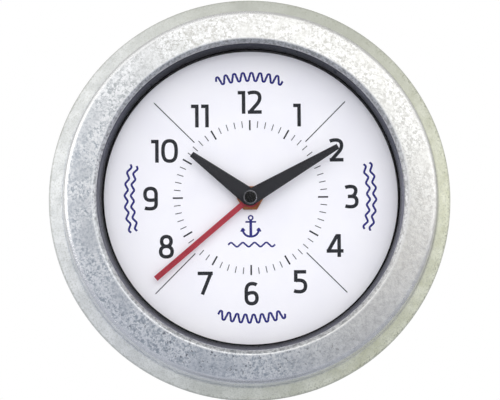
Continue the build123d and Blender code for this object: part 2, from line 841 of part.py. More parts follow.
# Minute arbor: pivots, the cannon pinion, the seat of the minute hand and its thread
with BuildPart() as minute_arbor:
    with BuildSketch(wall.offset(back_plate_height - pivot_depth + end_shake)):
        Circle(pivot_radius)
    extrude(amount=pivot_depth)
    with BuildSketch(wall.offset(back_plate_height + end_shake)):
        Circle(arbor_thin_radius)
    extrude(amount=cannon_layer - back_plate_height - end_shake)
    extrude(
        toothed_face(cannon_layer, hub, cannon_teeth, motion_module, minute_wheel_direction),
        amount=wheel_thickness,
    )
    with BuildSketch(wall.offset(cannon_layer + wheel_thickness)):
        Circle(arbor_radius)
    extrude(amount=minute_hand_height - cannon_layer - wheel_thickness)
    with BuildSketch(wall.offset(minute_hand_height)):
        Circle(arbor_thread_radius)
    extrude(amount=hand_thickness + cap_thread_length)
minute_arbor.part.label = "minute_arbor"
export_step(minute_arbor.part, "parts/minute_arbor.step")

# Centre wheel, held on the minute arbor by friction so that the hands can be set
with BuildPart() as centre_wheel:
    extrude(
        toothed_face(centre_layer, hub, centre_wheel_teeth, going_module, third_wheel_direction),
        amount=wheel_thickness,
    )
    with BuildSketch(wall.offset(centre_layer)):
        Circle(arbor_thin_radius + hand_press_gap)
    extrude(amount=wheel_thickness, mode=Mode.SUBTRACT)
centre_wheel.part.label = "centre_wheel"
export_step(centre_wheel.part, "parts/centre_wheel.step")

# Minute wheel with its pinion, on the arbor of the time knob
with BuildPart() as minute_wheel:
    extrude(
        toothed_face(cannon_layer, minute_wheel_place, minute_wheel_teeth, motion_module,
                     minute_wheel_direction + half_turn, space_first=True),
        amount=wheel_thickness,
    )
    extrude(
        toothed_face(cannon_layer + wheel_thickness, minute_wheel_place, minute_pinion_teeth,
                     motion_module, minute_wheel_direction + half_turn),
        amount=hour_layer - cannon_layer,
    )
    with BuildSketch(wall.offset(knob_above_wall)):
        with Locations(minute_wheel_place):
            Circle(setting_arbor_radius)
    extrude(amount=cannon_layer - knob_above_wall)
    with BuildSketch(wall.offset(hour_layer + wheel_thickness)):
        with Locations(minute_wheel_place):
            Circle(arbor_shaft_radius)
    extrude(amount=front_plate_height - end_shake - hour_layer - wheel_thickness)
    with BuildSketch(wall.offset(front_plate_height - end_shake)):
        with Locations(minute_wheel_place):
            Circle(pivot_radius)
    extrude(amount=pivot_depth)
minute_wheel.part.label = "minute_wheel"
export_step(minute_wheel.part, "parts/minute_wheel.step")

# Hour wheel with its pipe
hour_pipe_top = hour_hand_height + hand_thickness + pipe_stand
with BuildPart() as hour_wheel:
    extrude(
        toothed_face(hour_layer, hub, hour_wheel_teeth, motion_module,
                     minute_wheel_direction, space_first=True),
        amount=wheel_thickness,
    )
    with BuildSketch(wall.offset(hour_layer)):
        Circle(hour_pipe_radius)
    extrude(amount=hour_pipe_top - hour_layer)
    with BuildSketch(wall.offset(hour_layer)):
        Circle(hour_pipe_bore)
    extrude(amount=hour_pipe_top - hour_layer, mode=Mode.SUBTRACT)
hour_wheel.part.label = "hour_wheel"
export_step(hour_wheel.part, "parts/hour_wheel.step")

# Tide drive gear, pressed on the hour pipe
with BuildPart() as tide_drive_gear:
    extrude(
        toothed_face(drive_layer, hub, tide_drive_teeth, tide_module, tide_idler_direction),
        amount=wheel_thickness,
    )
    with BuildSketch(wall.offset(drive_layer)):
        Circle(hour_pipe_radius + hand_press_gap)
    extrude(amount=wheel_thickness, mode=Mode.SUBTRACT)
tide_drive_gear.part.label = "tide_drive_gear"
export_step(tide_drive_gear.part, "parts/tide_drive_gear.step")

# Tide idler: two toothed rings on the arbor of the tide knob
with BuildPart() as tide_idler:
    extrude(
        toothed_face(drive_layer, tide_idler_place, tide_idler_teeth, tide_module,
                     tide_idler_direction + half_turn, space_first=True),
        amount=wheel_thickness,
    )
    with BuildSketch(wall.offset(drive_layer + wheel_thickness)):
        with Locations(tide_idler_place):
            Circle(idler_hub_radius)
    extrude(amount=layer_pitch - wheel_thickness)
    extrude(
        toothed_face(tide_layer, tide_idler_place, tide_wheel_teeth, tide_module,
                     tide_idler_direction + half_turn),
        amount=wheel_thickness,
    )
    with BuildSketch(wall.offset(knob_above_wall)):
        with Locations(tide_idler_place):
            Circle(setting_arbor_radius)
    extrude(amount=drive_layer - knob_above_wall)
    with BuildSketch(wall.offset(tide_layer + wheel_thickness)):
        with Locations(tide_idler_place):
            Circle(arbor_shaft_radius)
    extrude(amount=front_plate_height - end_shake - tide_layer - wheel_thickness)
    with BuildSketch(wall.offset(front_plate_height - end_shake)):
        with Locations(tide_idler_place):
            Circle(pivot_radius)
    extrude(amount=pivot_depth)
tide_idler.part.label = "tide_idler"
export_step(tide_idler.part, "parts/tide_idler.step")

# Tide wheel with its pipe
tide_pipe_top = tide_hand_height + hand_thickness + pipe_stand
with BuildPart() as tide_wheel:
    extrude(
        toothed_face(tide_layer, hub, tide_wheel_teeth, tide_module,
                     tide_idler_direction, space_first=True),
        amount=wheel_thickness,
    )
    with BuildSketch(wall.offset(tide_layer)):
        Circle(tide_pipe_radius)
    extrude(amount=tide_pipe_top - tide_layer)
    with BuildSketch(wall.offset(tide_layer)):
        Circle(tide_pipe_bore)
    extrude(amount=tide_pipe_top - tide_layer, mode=Mode.SUBTRACT)
tide_wheel.part.label = "tide_wheel"
export_step(tide_wheel.part, "parts/tide_wheel.step")

# Third, fourth and fifth wheels, each moulded with the pinion in front of it
train_wheels = [
    ("third_wheel", third_place, third_layer, third_wheel_teeth, fourth_wheel_direction,
     third_pinion_teeth, third_wheel_direction + half_turn),
    ("fourth_wheel", fourth_place, fourth_layer, fourth_wheel_teeth, fifth_wheel_direction,
     fourth_pinion_teeth, fourth_wheel_direction + half_turn),
    ("fifth_wheel", fifth_place, fifth_layer, fifth_wheel_teeth, rotor_direction,
     fifth_pinion_teeth, fifth_wheel_direction + half_turn),
]
for name, place, layer, teeth, direction, pinion_teeth, pinion_direction in train_wheels:
    with BuildPart() as train_wheel:
        extrude(toothed_face(layer, place, teeth, going_module, direction), amount=wheel_thickness)
        extrude(
            toothed_face(layer + wheel_thickness, place, pinion_teeth, going_module,
                         pinion_direction, space_first=True),
            amount=layer_pitch,
        )
        with BuildSketch(wall.offset(layer + wheel_thickness + layer_pitch)):
            with Locations(place):
                Circle(arbor_shaft_radius)
        extrude(amount=middle_plate_height - end_shake - layer - wheel_thickness - layer_pitch)
        with BuildSketch(wall.offset(back_plate_height + end_shake)):
            with Locations(place):
                Circle(arbor_shaft_radius)
        extrude(amount=layer - back_plate_height - end_shake)
        with BuildSketch(wall.offset(back_plate_height + end_shake - pivot_depth)):
            with Locations(place):
                Circle(pivot_radius)
        extrude(amount=pivot_depth)
        with BuildSketch(wall.offset(middle_plate_height - end_shake)):
            with Locations(place):
                Circle(pivot_radius)
        extrude(amount=middle_plate_thickness)
    train_wheel.part.label = name
    export_step(train_wheel.part, f"parts/{name}.step")

# Rotor pinion on its arbor
magnet_height = stator_height + stator_thickness / 2 - magnet_length / 2
with BuildPart() as rotor_pinion:
    extrude(
        toothed_face(fifth_layer, rotor_place, rotor_pinion_teeth, going_module,
                     rotor_direction + half_turn, space_first=True),
        amount=magnet_height - fifth_layer,
    )
    with BuildSketch(wall.offset(magnet_height)):
        with Locations(rotor_place):
            Circle(arbor_shaft_radius)
    extrude(amount=middle_plate_height - end_shake - magnet_height)
    with BuildSketch(wall.offset(back_plate_height + end_shake)):
        with Locations(rotor_place):
            Circle(arbor_shaft_radius)
    extrude(amount=fifth_layer - back_plate_height - end_shake)
    with BuildSketch(wall.offset(back_plate_height + end_shake - pivot_depth)):
        with Locations(rotor_place):
            Circle(pivot_radius)
    extrude(amount=pivot_depth)
    with BuildSketch(wall.offset(middle_plate_height - end_shake)):
        with Locations(rotor_place):
            Circle(pivot_radius)
    extrude(amount=middle_plate_thickness)
rotor_pinion.part.label = "rotor_pinion"
export_step(rotor_pinion.part, "parts/rotor_pinion.step")

# Rotor magnet, a ring on the rotor's arbor
with BuildPart() as rotor_magnet:
    with BuildSketch(wall.offset(magnet_height)):
        with Locations(rotor_place):
            Circle(magnet_radius)
            Circle(arbor_shaft_radius + hand_press_gap, mode=Mode.SUBTRACT)
    extrude(amount=magnet_length)
rotor_magnet.part.label = "rotor_magnet"
export_step(rotor_magnet.part, "parts/rotor_magnet.step")

# Stator: a thin iron frame round the rotor, with the coil's core as its upper bar
stator_bar_low = rotor_place[1] + magnet_radius + 2 * stator_air_gap
stator_middle = (stator_right - stator_left) / 2
stator_window_middle = (stator_top - stator_bar + stator_bar_low) / 2
with BuildPart() as stator:
    with BuildSketch(wall.offset(stator_height)):
        with Locations((stator_middle, (stator_top + stator_low) / 2)):
            Rectangle(stator_right + stator_left, stator_top - stator_low)
        with Locations((stator_middle, stator_window_middle)):
            Rectangle(
                stator_right + stator_left - 2 * stator_side,
                stator_top - stator_bar - stator_bar_low,
                mode=Mode.SUBTRACT,
            )
        with Locations(rotor_place):
            Circle(magnet_radius + stator_air_gap, mode=Mode.SUBTRACT)
    extrude(amount=stator_thickness)
stator.part.label = "stator"
export_step(stator.part, "parts/stator.step")

# Coil bobbin and winding round the stator's upper bar
coil_axis_height = stator_height + stator_thickness / 2
coil_place = stator_top - stator_bar / 2
core_width = stator_bar + 2 * coil_core_clearance
core_thickness = stator_thickness + 2 * coil_core_clearance
coil_plane = Plane(origin=(-coil_left, -coil_axis_height, coil_place), x_dir=(0, -1, 0), z_dir=(1, 0, 0))
winding_length = coil_left + coil_right - 2 * coil_flange_thickness
bobbin_tube_radius = (coil_radius + hypot(core_width, core_thickness) / 2) / 2
with BuildPart() as coil_bobbin:
    with BuildSketch(coil_plane, coil_plane.offset(coil_left + coil_right - coil_flange_thickness)):
        Circle(coil_flange_radius)
    extrude(amount=coil_flange_thickness)
    with BuildSketch(coil_plane):
        Circle(bobbin_tube_radius)
    extrude(amount=coil_left + coil_right)
    with BuildSketch(coil_plane):
        Rectangle(core_thickness, core_width)
    extrude(amount=coil_left + coil_right, mode=Mode.SUBTRACT)
coil_bobbin.part.label = "coil_bobbin"
export_step(coil_bobbin.part, "parts/coil_bobbin.step")

with BuildPart() as coil_winding:
    with BuildSketch(coil_plane.offset(coil_flange_thickness)):
        Circle(coil_radius)
        Circle(bobbin_tube_radius + hand_press_gap, mode=Mode.SUBTRACT)
    extrude(amount=winding_length)
coil_winding.part.label = "coil_winding"
export_step(coil_winding.part, "parts/coil_winding.step")

# Circuit board: a strip over the battery bay with a wider part at its left
board_half = inner_width / 2 - 2 * contact_sheet
board_strip_top = -(board_strip_bottom - board_strip_height)
with BuildPart() as circuit_board:
    with BuildSketch(wall.offset(board_height)):
        with BuildLine():
            Polyline(
                (-board_half, -board_strip_bottom),
                (board_half, -board_strip_bottom),
                (board_half, board_strip_top),
                (-board_side_to_axis, board_strip_top),
                (-board_side_to_axis, board_side_height - board_strip_bottom),
                (-board_half, board_side_height - board_strip_bottom),
                close=True,
            )
        make_face()
        with Locations(*post_places[2:]):
            Circle(post_radius + thread_clearance, mode=Mode.SUBTRACT)
    extrude(amount=board_thickness)
circuit_board.part.label = "circuit_board"
export_step(circuit_board.part, "parts/circuit_board.step")

# Control chip under a round drop of resin
with BuildPart() as control_chip:
    with BuildSketch(wall.offset(board_height + board_thickness)):
        with Locations(chip_place):
            Circle(chip_radius)
    extrude(amount=chip_height)
    chamfer(control_chip.edges().sort_by(Axis.Y)[0], length=chip_height / 2)
control_chip.part.label = "control_chip"
export_step(control_chip.part, "parts/control_chip.step")

# Quartz crystal in its can, lying on the board
crystal_place = (crystal_inset - movement_width / 2, -crystal_below_axis)
with BuildPart() as quartz_crystal:
    with BuildSketch(Plane(
        origin=(crystal_place[0], -(board_height + board_thickness + crystal_radius), crystal_place[1]),
        z_dir=(0, 0, 1),
    )):
        Circle(crystal_radius)
    extrude(amount=crystal_length)
quartz_crystal.part.label = "quartz_crystal"
export_step(quartz_crystal.part, "parts/quartz_crystal.step")

# Battery, lying across the bay with its terminal to the right
battery_height = front_plate_height - battery_gap - battery_radius
battery_start = -(battery_length + battery_terminal_length) / 2
battery_plane = Plane(
    origin=(battery_start, -battery_height, -battery_below_axis), x_dir=(0, -1, 0), z_dir=(1, 0, 0)
)
with BuildPart() as battery:
    with BuildSketch(battery_plane):
        Circle(battery_radius)
    extrude(amount=battery_length)
    chamfer(battery.edges().filter_by(GeomType.CIRCLE), length=battery_edge_rounding)
    with BuildSketch(battery_plane.offset(battery_length)):
        Circle(battery_terminal_radius)
    extrude(amount=battery_terminal_length)
battery.part.label = "battery"
export_step(battery.part, "parts/battery.step")

# Contacts: a folded spring leaf at the left and a flat leaf at the right, with tails to the board
bay_end = inner_width / 2
leaf_low = back_plate_height + contact_sheet
leaf_high = front_plate_height - contact_sheet
leaf_bulge = -battery_start + contact_touch_gap
tail_middle = bay_wall_middle + contact_tail_length / 2 - movement_wall
tail_low = board_height
contact_side = Plane(
    origin=(0, 0, -battery_below_axis - contact_width / 2), x_dir=(1, 0, 0), z_dir=(0, 0, 1)
)


def leaf_points(points, side):
    """A leaf's path in the plane of its bend, for the left (-1) or right (1) end."""
    return [(side * x, -height) for x, height in points]


negative_path = [
    (bay_end - contact_sheet / 2, leaf_low),
    (bay_end - contact_sheet / 2, leaf_high),
    (bay_end - 2 * contact_sheet, leaf_high),
    (leaf_bulge + contact_sheet / 2, battery_height),
    (bay_end - 2 * contact_sheet, leaf_low),
]
positive_path = [
    (bay_end - contact_sheet / 2, leaf_low),
    (bay_end - contact_sheet / 2, leaf_high),
    (leaf_bulge + contact_sheet / 2, leaf_high - contact_sheet),
    (leaf_bulge + contact_sheet / 2, battery_height - battery_terminal_radius),
]
contact_strips = [("negative_contact", -1, negative_path), ("positive_contact", 1, positive_path)]
for name, side, path in contact_strips:
    with BuildPart() as contact:
        with BuildSketch(contact_side):
            with BuildLine():
                leaf = Polyline(*leaf_points(path, side))
            trace(leaf, contact_sheet)
        extrude(amount=contact_width)
        with BuildSketch(wall.offset(tail_low)):
            with Locations((side * (bay_end - contact_sheet / 2), tail_middle - contact_width / 4)):
                Rectangle(contact_sheet, contact_tail_length + contact_width / 2)
        extrude(amount=contact_tail_width)
    contact.part.label = name
    export_step(contact.part, f"parts/{name}.step")

# Setting knobs, pressed on the arbors behind the back plate
knobs = [
    ("time_set_knob", minute_wheel_place, time_knob_radius),
    ("tide_set_knob", tide_idler_place, tide_knob_radius),
]
for name, place, radius in knobs:
    with BuildPart() as knob:
        grip_module = 2 * radius / (knob_grips + 2 * tooth_top_share)
        extrude(
            toothed_face(knob_above_wall, place, knob_grips, grip_module, 0),
            amount=knob_thickness,
        )
        with BuildSketch(wall.offset(knob_above_wall)):
            with Locations(place):
                Circle(setting_arbor_radius + hand_press_gap)
        extrude(amount=knob_thickness, mode=Mode.SUBTRACT)
    knob.part.label = name
    export_step(knob.part, f"parts/{name}.step")


def hand_plane(height, hour_angle):
    """A plane at a height whose x axis points along a hand."""
    turn = radians(hour_angle)
    return Plane(origin=(0, -height, 0), x_dir=(sin(turn), 0, cos(turn)), z_dir=(0, -1, 0))


# Hour hand and minute hand: tapered bars with round roots and blunt tips
tapered_hands = [
    ("hour_hand", hour_hand_height, hour_hand_hour_angle, hour_hand_length,
     hour_hand_root_width, hour_hand_tip_width, hour_pipe_radius + hand_press_gap),
    ("minute_hand", minute_hand_height, minute_hand_hour_angle, minute_hand_length,
     minute_hand_root_width, minute_hand_tip_width, arbor_thread_radius + hand_press_gap),
]
for name, height, hour_angle, length, root_width, tip_width, hole_radius in tapered_hands:
    with BuildPart() as hand:
        with BuildSketch(hand_plane(height, hour_angle)):
            with BuildLine():
                Polyline(
                    (0, -root_width / 2),
                    (length, -tip_width / 2),
                    (length, tip_width / 2),
                    (0, root_width / 2),
                    close=True,
                )
            make_face()
            Circle(root_width / 2)
            Circle(hole_radius, mode=Mode.SUBTRACT)
        extrude(amount=hand_thickness)
    hand.part.label = name
    export_step(hand.part, f"parts/{name}.step")

# Tide hand: a straight bar on a round hub
with BuildPart() as tide_hand:
    with BuildSketch(hand_plane(tide_hand_height, tide_hand_hour_angle)):
        with Locations((tide_hand_length / 2, 0)):
            Rectangle(tide_hand_length, tide_hand_width)
        Circle(tide_hand_hub_radius)
        Circle(tide_pipe_radius + hand_press_gap, mode=Mode.SUBTRACT)
    extrude(amount=hand_thickness)
tide_hand.part.label = "tide_hand"
export_step(tide_hand.part, "parts/tide_hand.step")

# Cap nut on the minute arbor
with BuildPart() as cap_nut:
    with BuildSketch(wall.offset(cap_base_height)):
        Circle(cap_radius)
    extrude(amount=cap_height)
    chamfer(cap_nut.faces().sort_by(Axis.Y)[0].edges(), length=cap_bevel)
    with BuildSketch(wall.offset(cap_base_height)):
        Circle(arbor_thread_radius + thread_clearance)
    extrude(amount=cap_thread_length + thread_clearance, mode=Mode.SUBTRACT)
cap_nut.part.label = "cap_nut"
export_step(cap_nut.part, "parts/cap_nut.step")
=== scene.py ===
# %% [markdown]
# # Dressing a tide clock
#
# The clock is a galvanised wall clock with three hands: two dark ones for the time, and a
# red one that goes round once in a tide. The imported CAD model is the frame. Here each
# surface that shows gets its real finish, and what the solids hold only as plain forms,
# such as the pressed bezel and the printed dial, is modelled in full.
#
# The dial faces -Y and +Z is up. Sizes are written in millimetres and turned into metres
# with MM where Blender needs them.

# %% Load the frame
import bpy
import bmesh
import json
from math import cos, log, pi, radians, sin
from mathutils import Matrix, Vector

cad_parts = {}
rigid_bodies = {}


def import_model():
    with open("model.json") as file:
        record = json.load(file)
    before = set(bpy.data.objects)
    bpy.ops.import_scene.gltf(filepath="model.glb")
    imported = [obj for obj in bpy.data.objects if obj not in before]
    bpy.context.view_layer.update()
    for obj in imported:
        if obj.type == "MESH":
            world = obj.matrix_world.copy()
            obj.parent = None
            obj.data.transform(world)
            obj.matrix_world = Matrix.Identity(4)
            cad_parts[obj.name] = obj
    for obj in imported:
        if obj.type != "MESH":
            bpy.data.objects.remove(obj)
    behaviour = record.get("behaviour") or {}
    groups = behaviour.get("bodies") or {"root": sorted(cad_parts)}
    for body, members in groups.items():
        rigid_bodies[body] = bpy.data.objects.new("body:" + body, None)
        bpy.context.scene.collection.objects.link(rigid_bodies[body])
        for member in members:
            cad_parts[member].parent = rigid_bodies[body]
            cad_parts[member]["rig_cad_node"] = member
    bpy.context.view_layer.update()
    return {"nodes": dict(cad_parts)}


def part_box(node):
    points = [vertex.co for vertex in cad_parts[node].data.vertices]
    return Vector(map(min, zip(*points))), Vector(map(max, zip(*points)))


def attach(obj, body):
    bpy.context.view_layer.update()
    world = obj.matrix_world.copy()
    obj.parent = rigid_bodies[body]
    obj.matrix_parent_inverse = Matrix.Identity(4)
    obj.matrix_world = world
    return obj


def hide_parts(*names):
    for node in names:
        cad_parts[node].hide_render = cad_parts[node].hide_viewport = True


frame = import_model()
nodes = frame["nodes"]
MM = 0.001

# %% [markdown]
# ## Working flat, then standing up
#
# A clock is easiest to model as a watchmaker sees it: lying on its back on the bench, the
# dial up, 12 away from the viewer. There x and y are the dial's own, and z is the height
# above the wall. A finished piece is then stood up, so that its height points at -Y, and
# its turn and place go into its mesh.


# %% Helpers for the bench
WELD = 0.002 * MM  # vertices closer than this are one
SAME_SPOT = 0.01 * MM  # a vertex this near a point is the one meant
SPUN, STAMPED, INKED = 30, 40, 60  # degrees: edges sharper than this stay sharp


def deselect_all():
    """Nothing is selected, and no piece is in edit mode."""
    if bpy.context.object and bpy.context.object.mode != "OBJECT":
        bpy.ops.object.mode_set(mode="OBJECT")
    bpy.ops.object.select_all(action="DESELECT")


def pick(piece):
    """Only this piece is selected, and it is active."""
    deselect_all()
    piece.select_set(True)
    bpy.context.view_layer.objects.active = piece


def edit_all(piece):
    """The piece is in edit mode, with all of it selected."""
    pick(piece)
    bpy.ops.object.mode_set(mode="EDIT")
    bpy.ops.mesh.select_all(action="SELECT")


def select_verts(test):
    """In edit mode, selects the vertices for which test is true."""
    mesh = bmesh.from_edit_mesh(bpy.context.object.data)
    bpy.ops.mesh.select_mode(type="VERT")
    bpy.ops.mesh.select_all(action="DESELECT")
    for vert in mesh.verts:
        vert.select = test(vert)
    mesh.select_flush_mode()
    bmesh.update_edit_mesh(bpy.context.object.data)


def weld():
    """In edit mode, vertices that meet become one, and all faces look outward."""
    bpy.ops.mesh.select_all(action="SELECT")
    bpy.ops.mesh.remove_doubles(threshold=WELD)
    bpy.ops.mesh.normals_make_consistent(inside=False)


def settle(piece):
    """The piece's turn, size and place go into its mesh."""
    pick(piece)
    bpy.ops.object.transform_apply(location=True, rotation=True, scale=True)


def stand_up(piece):
    """A piece that lies on the bench stands up: its height points at -Y."""
    settle(piece)
    piece.rotation_euler = (radians(90), 0, 0)
    settle(piece)


def add_modifier(piece, kind, **settings):
    """Adds a modifier with its settings, and applies it."""
    pick(piece)
    modifier = piece.modifiers.new(kind.lower(), kind)
    for setting, value in settings.items():
        setattr(modifier, setting, value)
    bpy.ops.object.modifier_apply(modifier=modifier.name)


def round_edges(piece, width, segments, angle):
    """Rounds the edges that turn by more than the angle, in degrees."""
    limit = {"limit_method": "ANGLE", "angle_limit": radians(angle)}
    add_modifier(piece, "BEVEL", width=width * MM, segments=segments, **limit)


def combine(piece, other, operation):
    """Another shape is added to a piece or cut from it, and is then thrown out."""
    add_modifier(piece, "BOOLEAN", operation=operation, solver="EXACT", object=other)
    bpy.data.objects.remove(other)


def smooth(piece, angle):
    """Round faces are shaded smooth, and edges sharper than the angle stay sharp."""
    pick(piece)
    bpy.ops.object.shade_smooth_by_angle(angle=radians(angle))


def finish(piece, body, finish_of, slot, *replaced):
    """The piece rides on a CAD body, wears a finish and may stand for CAD nodes."""
    piece.data.materials.clear()
    piece.data.materials.append(finish_of)
    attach(piece, body)
    if replaced:
        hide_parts(*replaced)
    low = [min(v.co[i] for v in piece.data.vertices) / MM for i in range(3)]
    high = [max(v.co[i] for v in piece.data.vertices) / MM for i in range(3)]
    size = [round(h - l, 1) for l, h in zip(low, high)]
    print(f"{piece.name}: {len(piece.data.polygons)} faces, {size} mm, on {body}")


# %% [markdown]
# ## Shader maths as plain sums
#
# A finish is a small network of nodes. One class wraps a socket, so that a sum such as
# 1 - mask adds its own Math node, and one method makes every other node.


# %% Sockets that can be added up
class Wire:
    """An output socket of a material's node tree that takes part in sums."""

    def __init__(self, tree, socket=None):
        self.tree = tree
        self.socket = socket

    def node(self, kind, settings=None, inputs=None, out=0):
        """Makes a node: its settings first, then the values or wires of its sockets."""
        made = self.tree.nodes.new(kind)
        for setting, value in (settings or {}).items():
            setattr(made, setting, value)
        for name, value in (inputs or {}).items():
            if isinstance(value, Wire):
                self.tree.links.new(value.socket, made.inputs[name])
            else:
                made.inputs[name].default_value = value
        return Wire(self.tree, made.outputs[out])

    def sum(self, operation, first, second):
        """A Math node on two values."""
        return self.node("ShaderNodeMath", {"operation": operation}, {0: first, 1: second})

    def __add__(self, other):
        return self.sum("ADD", self, other)

    def __radd__(self, other):
        return self.sum("ADD", other, self)

    def __sub__(self, other):
        return self.sum("SUBTRACT", self, other)

    def __rsub__(self, other):
        return self.sum("SUBTRACT", other, self)

    def __mul__(self, other):
        return self.sum("MULTIPLY", self, other)

    def __rmul__(self, other):
        return self.sum("MULTIPLY", other, self)

    def __pow__(self, other):
        return self.sum("POWER", self, other)

    def ramp(self, start, end):
        """0 up to start, 1 from end on, and an even rise between them."""
        return self.node("ShaderNodeMapRange", {"clamp": True}, {0: self, 1: start, 2: end})

    def band(self, start, full, fade, end):
        """0 up to start, 1 from full to fade, and 0 again from end on."""
        return self.ramp(start, full) * (1 - self.ramp(fade, end))

    def tint(self, low, high):
        """A colour that goes from low to high as this value goes from 0 to 1."""
        return self.node("ShaderNodeMix", {"data_type": "RGBA"}, {0: self, 6: low, 7: high}, out=2)


# %% [markdown]
# ## Places, colours and patterns
#
# Every finish starts from a place on the object in millimetres. Patterns and masks come
# from that place, and colours are picked as a picture shows them and mixed by the masks.


# %% Helpers for the finishes
def colour(red, green, blue):
    """A colour as a picture shows it, 0 to 255, turned into light."""
    light = []
    for part in (red, green, blue):
        share = part / 255
        light.append(share / 12.92 if share <= 0.04045 else ((share + 0.055) / 1.055) ** 2.4)
    return (*light, 1.0)


def place_in_mm(start, scale=(1, 1, 1)):
    """Object coordinates in millimetres, stretched by scale."""
    here = start.node("ShaderNodeTexCoord", out="Object")
    size = [s / MM for s in scale]
    return start.node("ShaderNodeMapping", None, {"Vector": here, "Scale": size})


def new_finish(name, **sockets):
    """A material with one Principled shader. Returns it, its shader and its place in mm."""
    material = bpy.data.materials.new(name)
    material.use_nodes = True
    shader = material.node_tree.nodes["Principled BSDF"]
    for socket, value in sockets.items():
        shader.inputs[socket.replace("_", " ")].default_value = value
    return material, shader, place_in_mm(Wire(material.node_tree))


def feed(shader, socket, wire):
    """A wire goes into a socket of the shader."""
    wire.tree.links.new(wire.socket, shader.inputs[socket])


def coordinate(place, axis):
    """How far a place lies to the right (X) or how high it lies (Z)."""
    return place.node("ShaderNodeSeparateXYZ", None, {0: place}, out=axis)


def distance(place):
    """How far a place lies from the middle."""
    return place.node("ShaderNodeVectorMath", {"operation": "LENGTH"}, {0: place}, out="Value")


def from_axis(place):
    """How far a place lies from the clock's axis, in millimetres."""
    return distance(place_in_mm(place, scale=(1, 0, 1)))


def laid(mask, under, over):
    """A colour over another where the mask is 1."""
    return mask.tint(under, over)


def noise(place, size, detail=3.0, roughness=0.5):
    """Soft random patches about size millimetres across, from 0 to 1."""
    inputs = {"Vector": place, "Scale": 1 / size, "Detail": detail, "Roughness": roughness}
    return place.node("ShaderNodeTexNoise", None, inputs)


def bump(shader, height, depth):
    """The surface rises with height, by depth millimetres where height goes from 0 to 1."""
    inputs = {"Height": height, "Distance": depth * MM, "Strength": 1.0}
    feed(shader, "Normal", height.node("ShaderNodeBump", None, inputs))


# %% [markdown]
# ## Galvanised steel
#
# The bezel is pressed from zinc-coated sheet. Zinc freezes on steel in small crystals, the
# spangle, and on this thin coat they are one to two millimetres across. Fine noise gives
# their flecks, wandering Voronoi cells the step from crystal to crystal, and the middle
# values of a smooth noise the darker lines between them. Where the coat is calm or dusty,
# as at the lower right, the flecks fade.

# %% Galvanised finish: crystals
CRYSTAL = 2.0
galvanised, shader, place = new_finish("galvanised_spangle")
radius = from_axis(place)
across, height = coordinate(place, "X"), coordinate(place, "Z")
inputs = {"Vector": place, "Scale": 0.9, "Detail": 3.0}
drift = place.node("ShaderNodeTexNoise", None, inputs, out="Color")
inputs = {0: drift, 1: (2.0, 2.0, 2.0), 2: place}
wander = place.node("ShaderNodeVectorMath", {"operation": "MULTIPLY_ADD"}, inputs)
inputs = {"Vector": wander, "Scale": 1 / CRYSTAL}
cells = place.node("ShaderNodeTexVoronoi", None, inputs, out="Color")
crystal = place.node("ShaderNodeSeparateColor", None, {0: cells})
fleck = noise(wander, 1.5, roughness=0.6)
dusty = across.ramp(5, 60) * (1 - height.ramp(-35, 30))
calm = noise(place, 20.0).ramp(0.5, 0.62) * 0.6 * (1 - dusty) + dusty * 0.42
outline = noise(wander, 1.9, detail=1.0).band(0.43, 0.5, 0.5, 0.57)
sharp = ((crystal * 0.16 + fleck * 0.84).ramp(0.33, 0.56) - outline * 0.55).ramp(0.0, 1.0)
tone = sharp * (1 - calm) + 0.4 * calm

# %% [markdown]
# ## Wear and painted light in rings
#
# A metal pressed into rings also ages in rings. Masks on the distance from the axis mark
# the lip, the crest of its edge and the outer bend, which both get a painted highlight, the
# crease at the drum's foot, which gets painted shade, the flange with its own coat, and the
# dirt at the rim. Others run across the clock: the flange is warmer to the right, the band's
# low tone is paler towards the upper right, and towards the upper right, away from the
# light, the bend's painted highlight is weaker and the crease's painted shade deeper. All
# are in millimetres.

# %% Galvanised finish: masks of wear and of painted light
lip = 1 - radius.ramp(85.2, 85.5)
# Painted highlight: the crest of the lip's edge, laid near white at half strength
edge = radius.band(85.3, 85.7, 86.1, 86.6)
# Painted highlight: the outer bend of the band, laid near white
bend_highlight = radius.band(98.6, 99.4, 101.7, 102.2)
# Painted shade: the crease at the drum's foot, laid dark grey
crease_shade = radius.band(101.9, 102.5, 102.9, 103.8)
flange = radius.ramp(102.2, 103.4)
rim_dirt = (radius + noise(place, 1.6) * 1.6).ramp(109.6, 110.7)
warm = across.ramp(-70, 60)
pale = (across * 0.9 + height * 0.8).ramp(-60, 45)
# Towards the upper right, away from the light: the painted highlight is weaker there and the
# painted shade deeper
away_from_light = (across * 0.9 + height * 0.5).ramp(15, 80)

# %% [markdown]
# ## Coats of colour
#
# The colours are laid over one another, the real coats in the order of age. The band is
# bare spangle with pits near the bottom and dust at the lower right. The flange wears a dull
# patina, warmer to the right, with a fine grain, and painted shade darkens it towards the
# top. The painted highlights on the bend and the lip's crest, the painted shade in the
# crease and the dirt at the rim come last.

# %% Galvanised finish: the band
low = laid(pale, colour(170, 178, 187), colour(209, 208, 203))
high = laid(warm, colour(252, 253, 255), colour(252, 252, 249))
spangle = tone.tint(low, high)
pits = noise(place, 1.5, detail=2.0, roughness=0.6).ramp(0.6, 0.66)
pits = pits * noise(place, 7.0).ramp(0.42, 0.54)
pitted = pits * (1 - height.ramp(-80, -45)) * (1 - radius.ramp(96, 98))
spangle = laid(pitted * 0.85, spangle, colour(62, 68, 82))
dust = noise(place, 3.0, detail=4.0, roughness=0.65).ramp(0.36, 0.64)
dust = dust.tint(colour(206, 201, 194), colour(252, 248, 239))
spangle = laid(dusty * 0.5, spangle, dust)

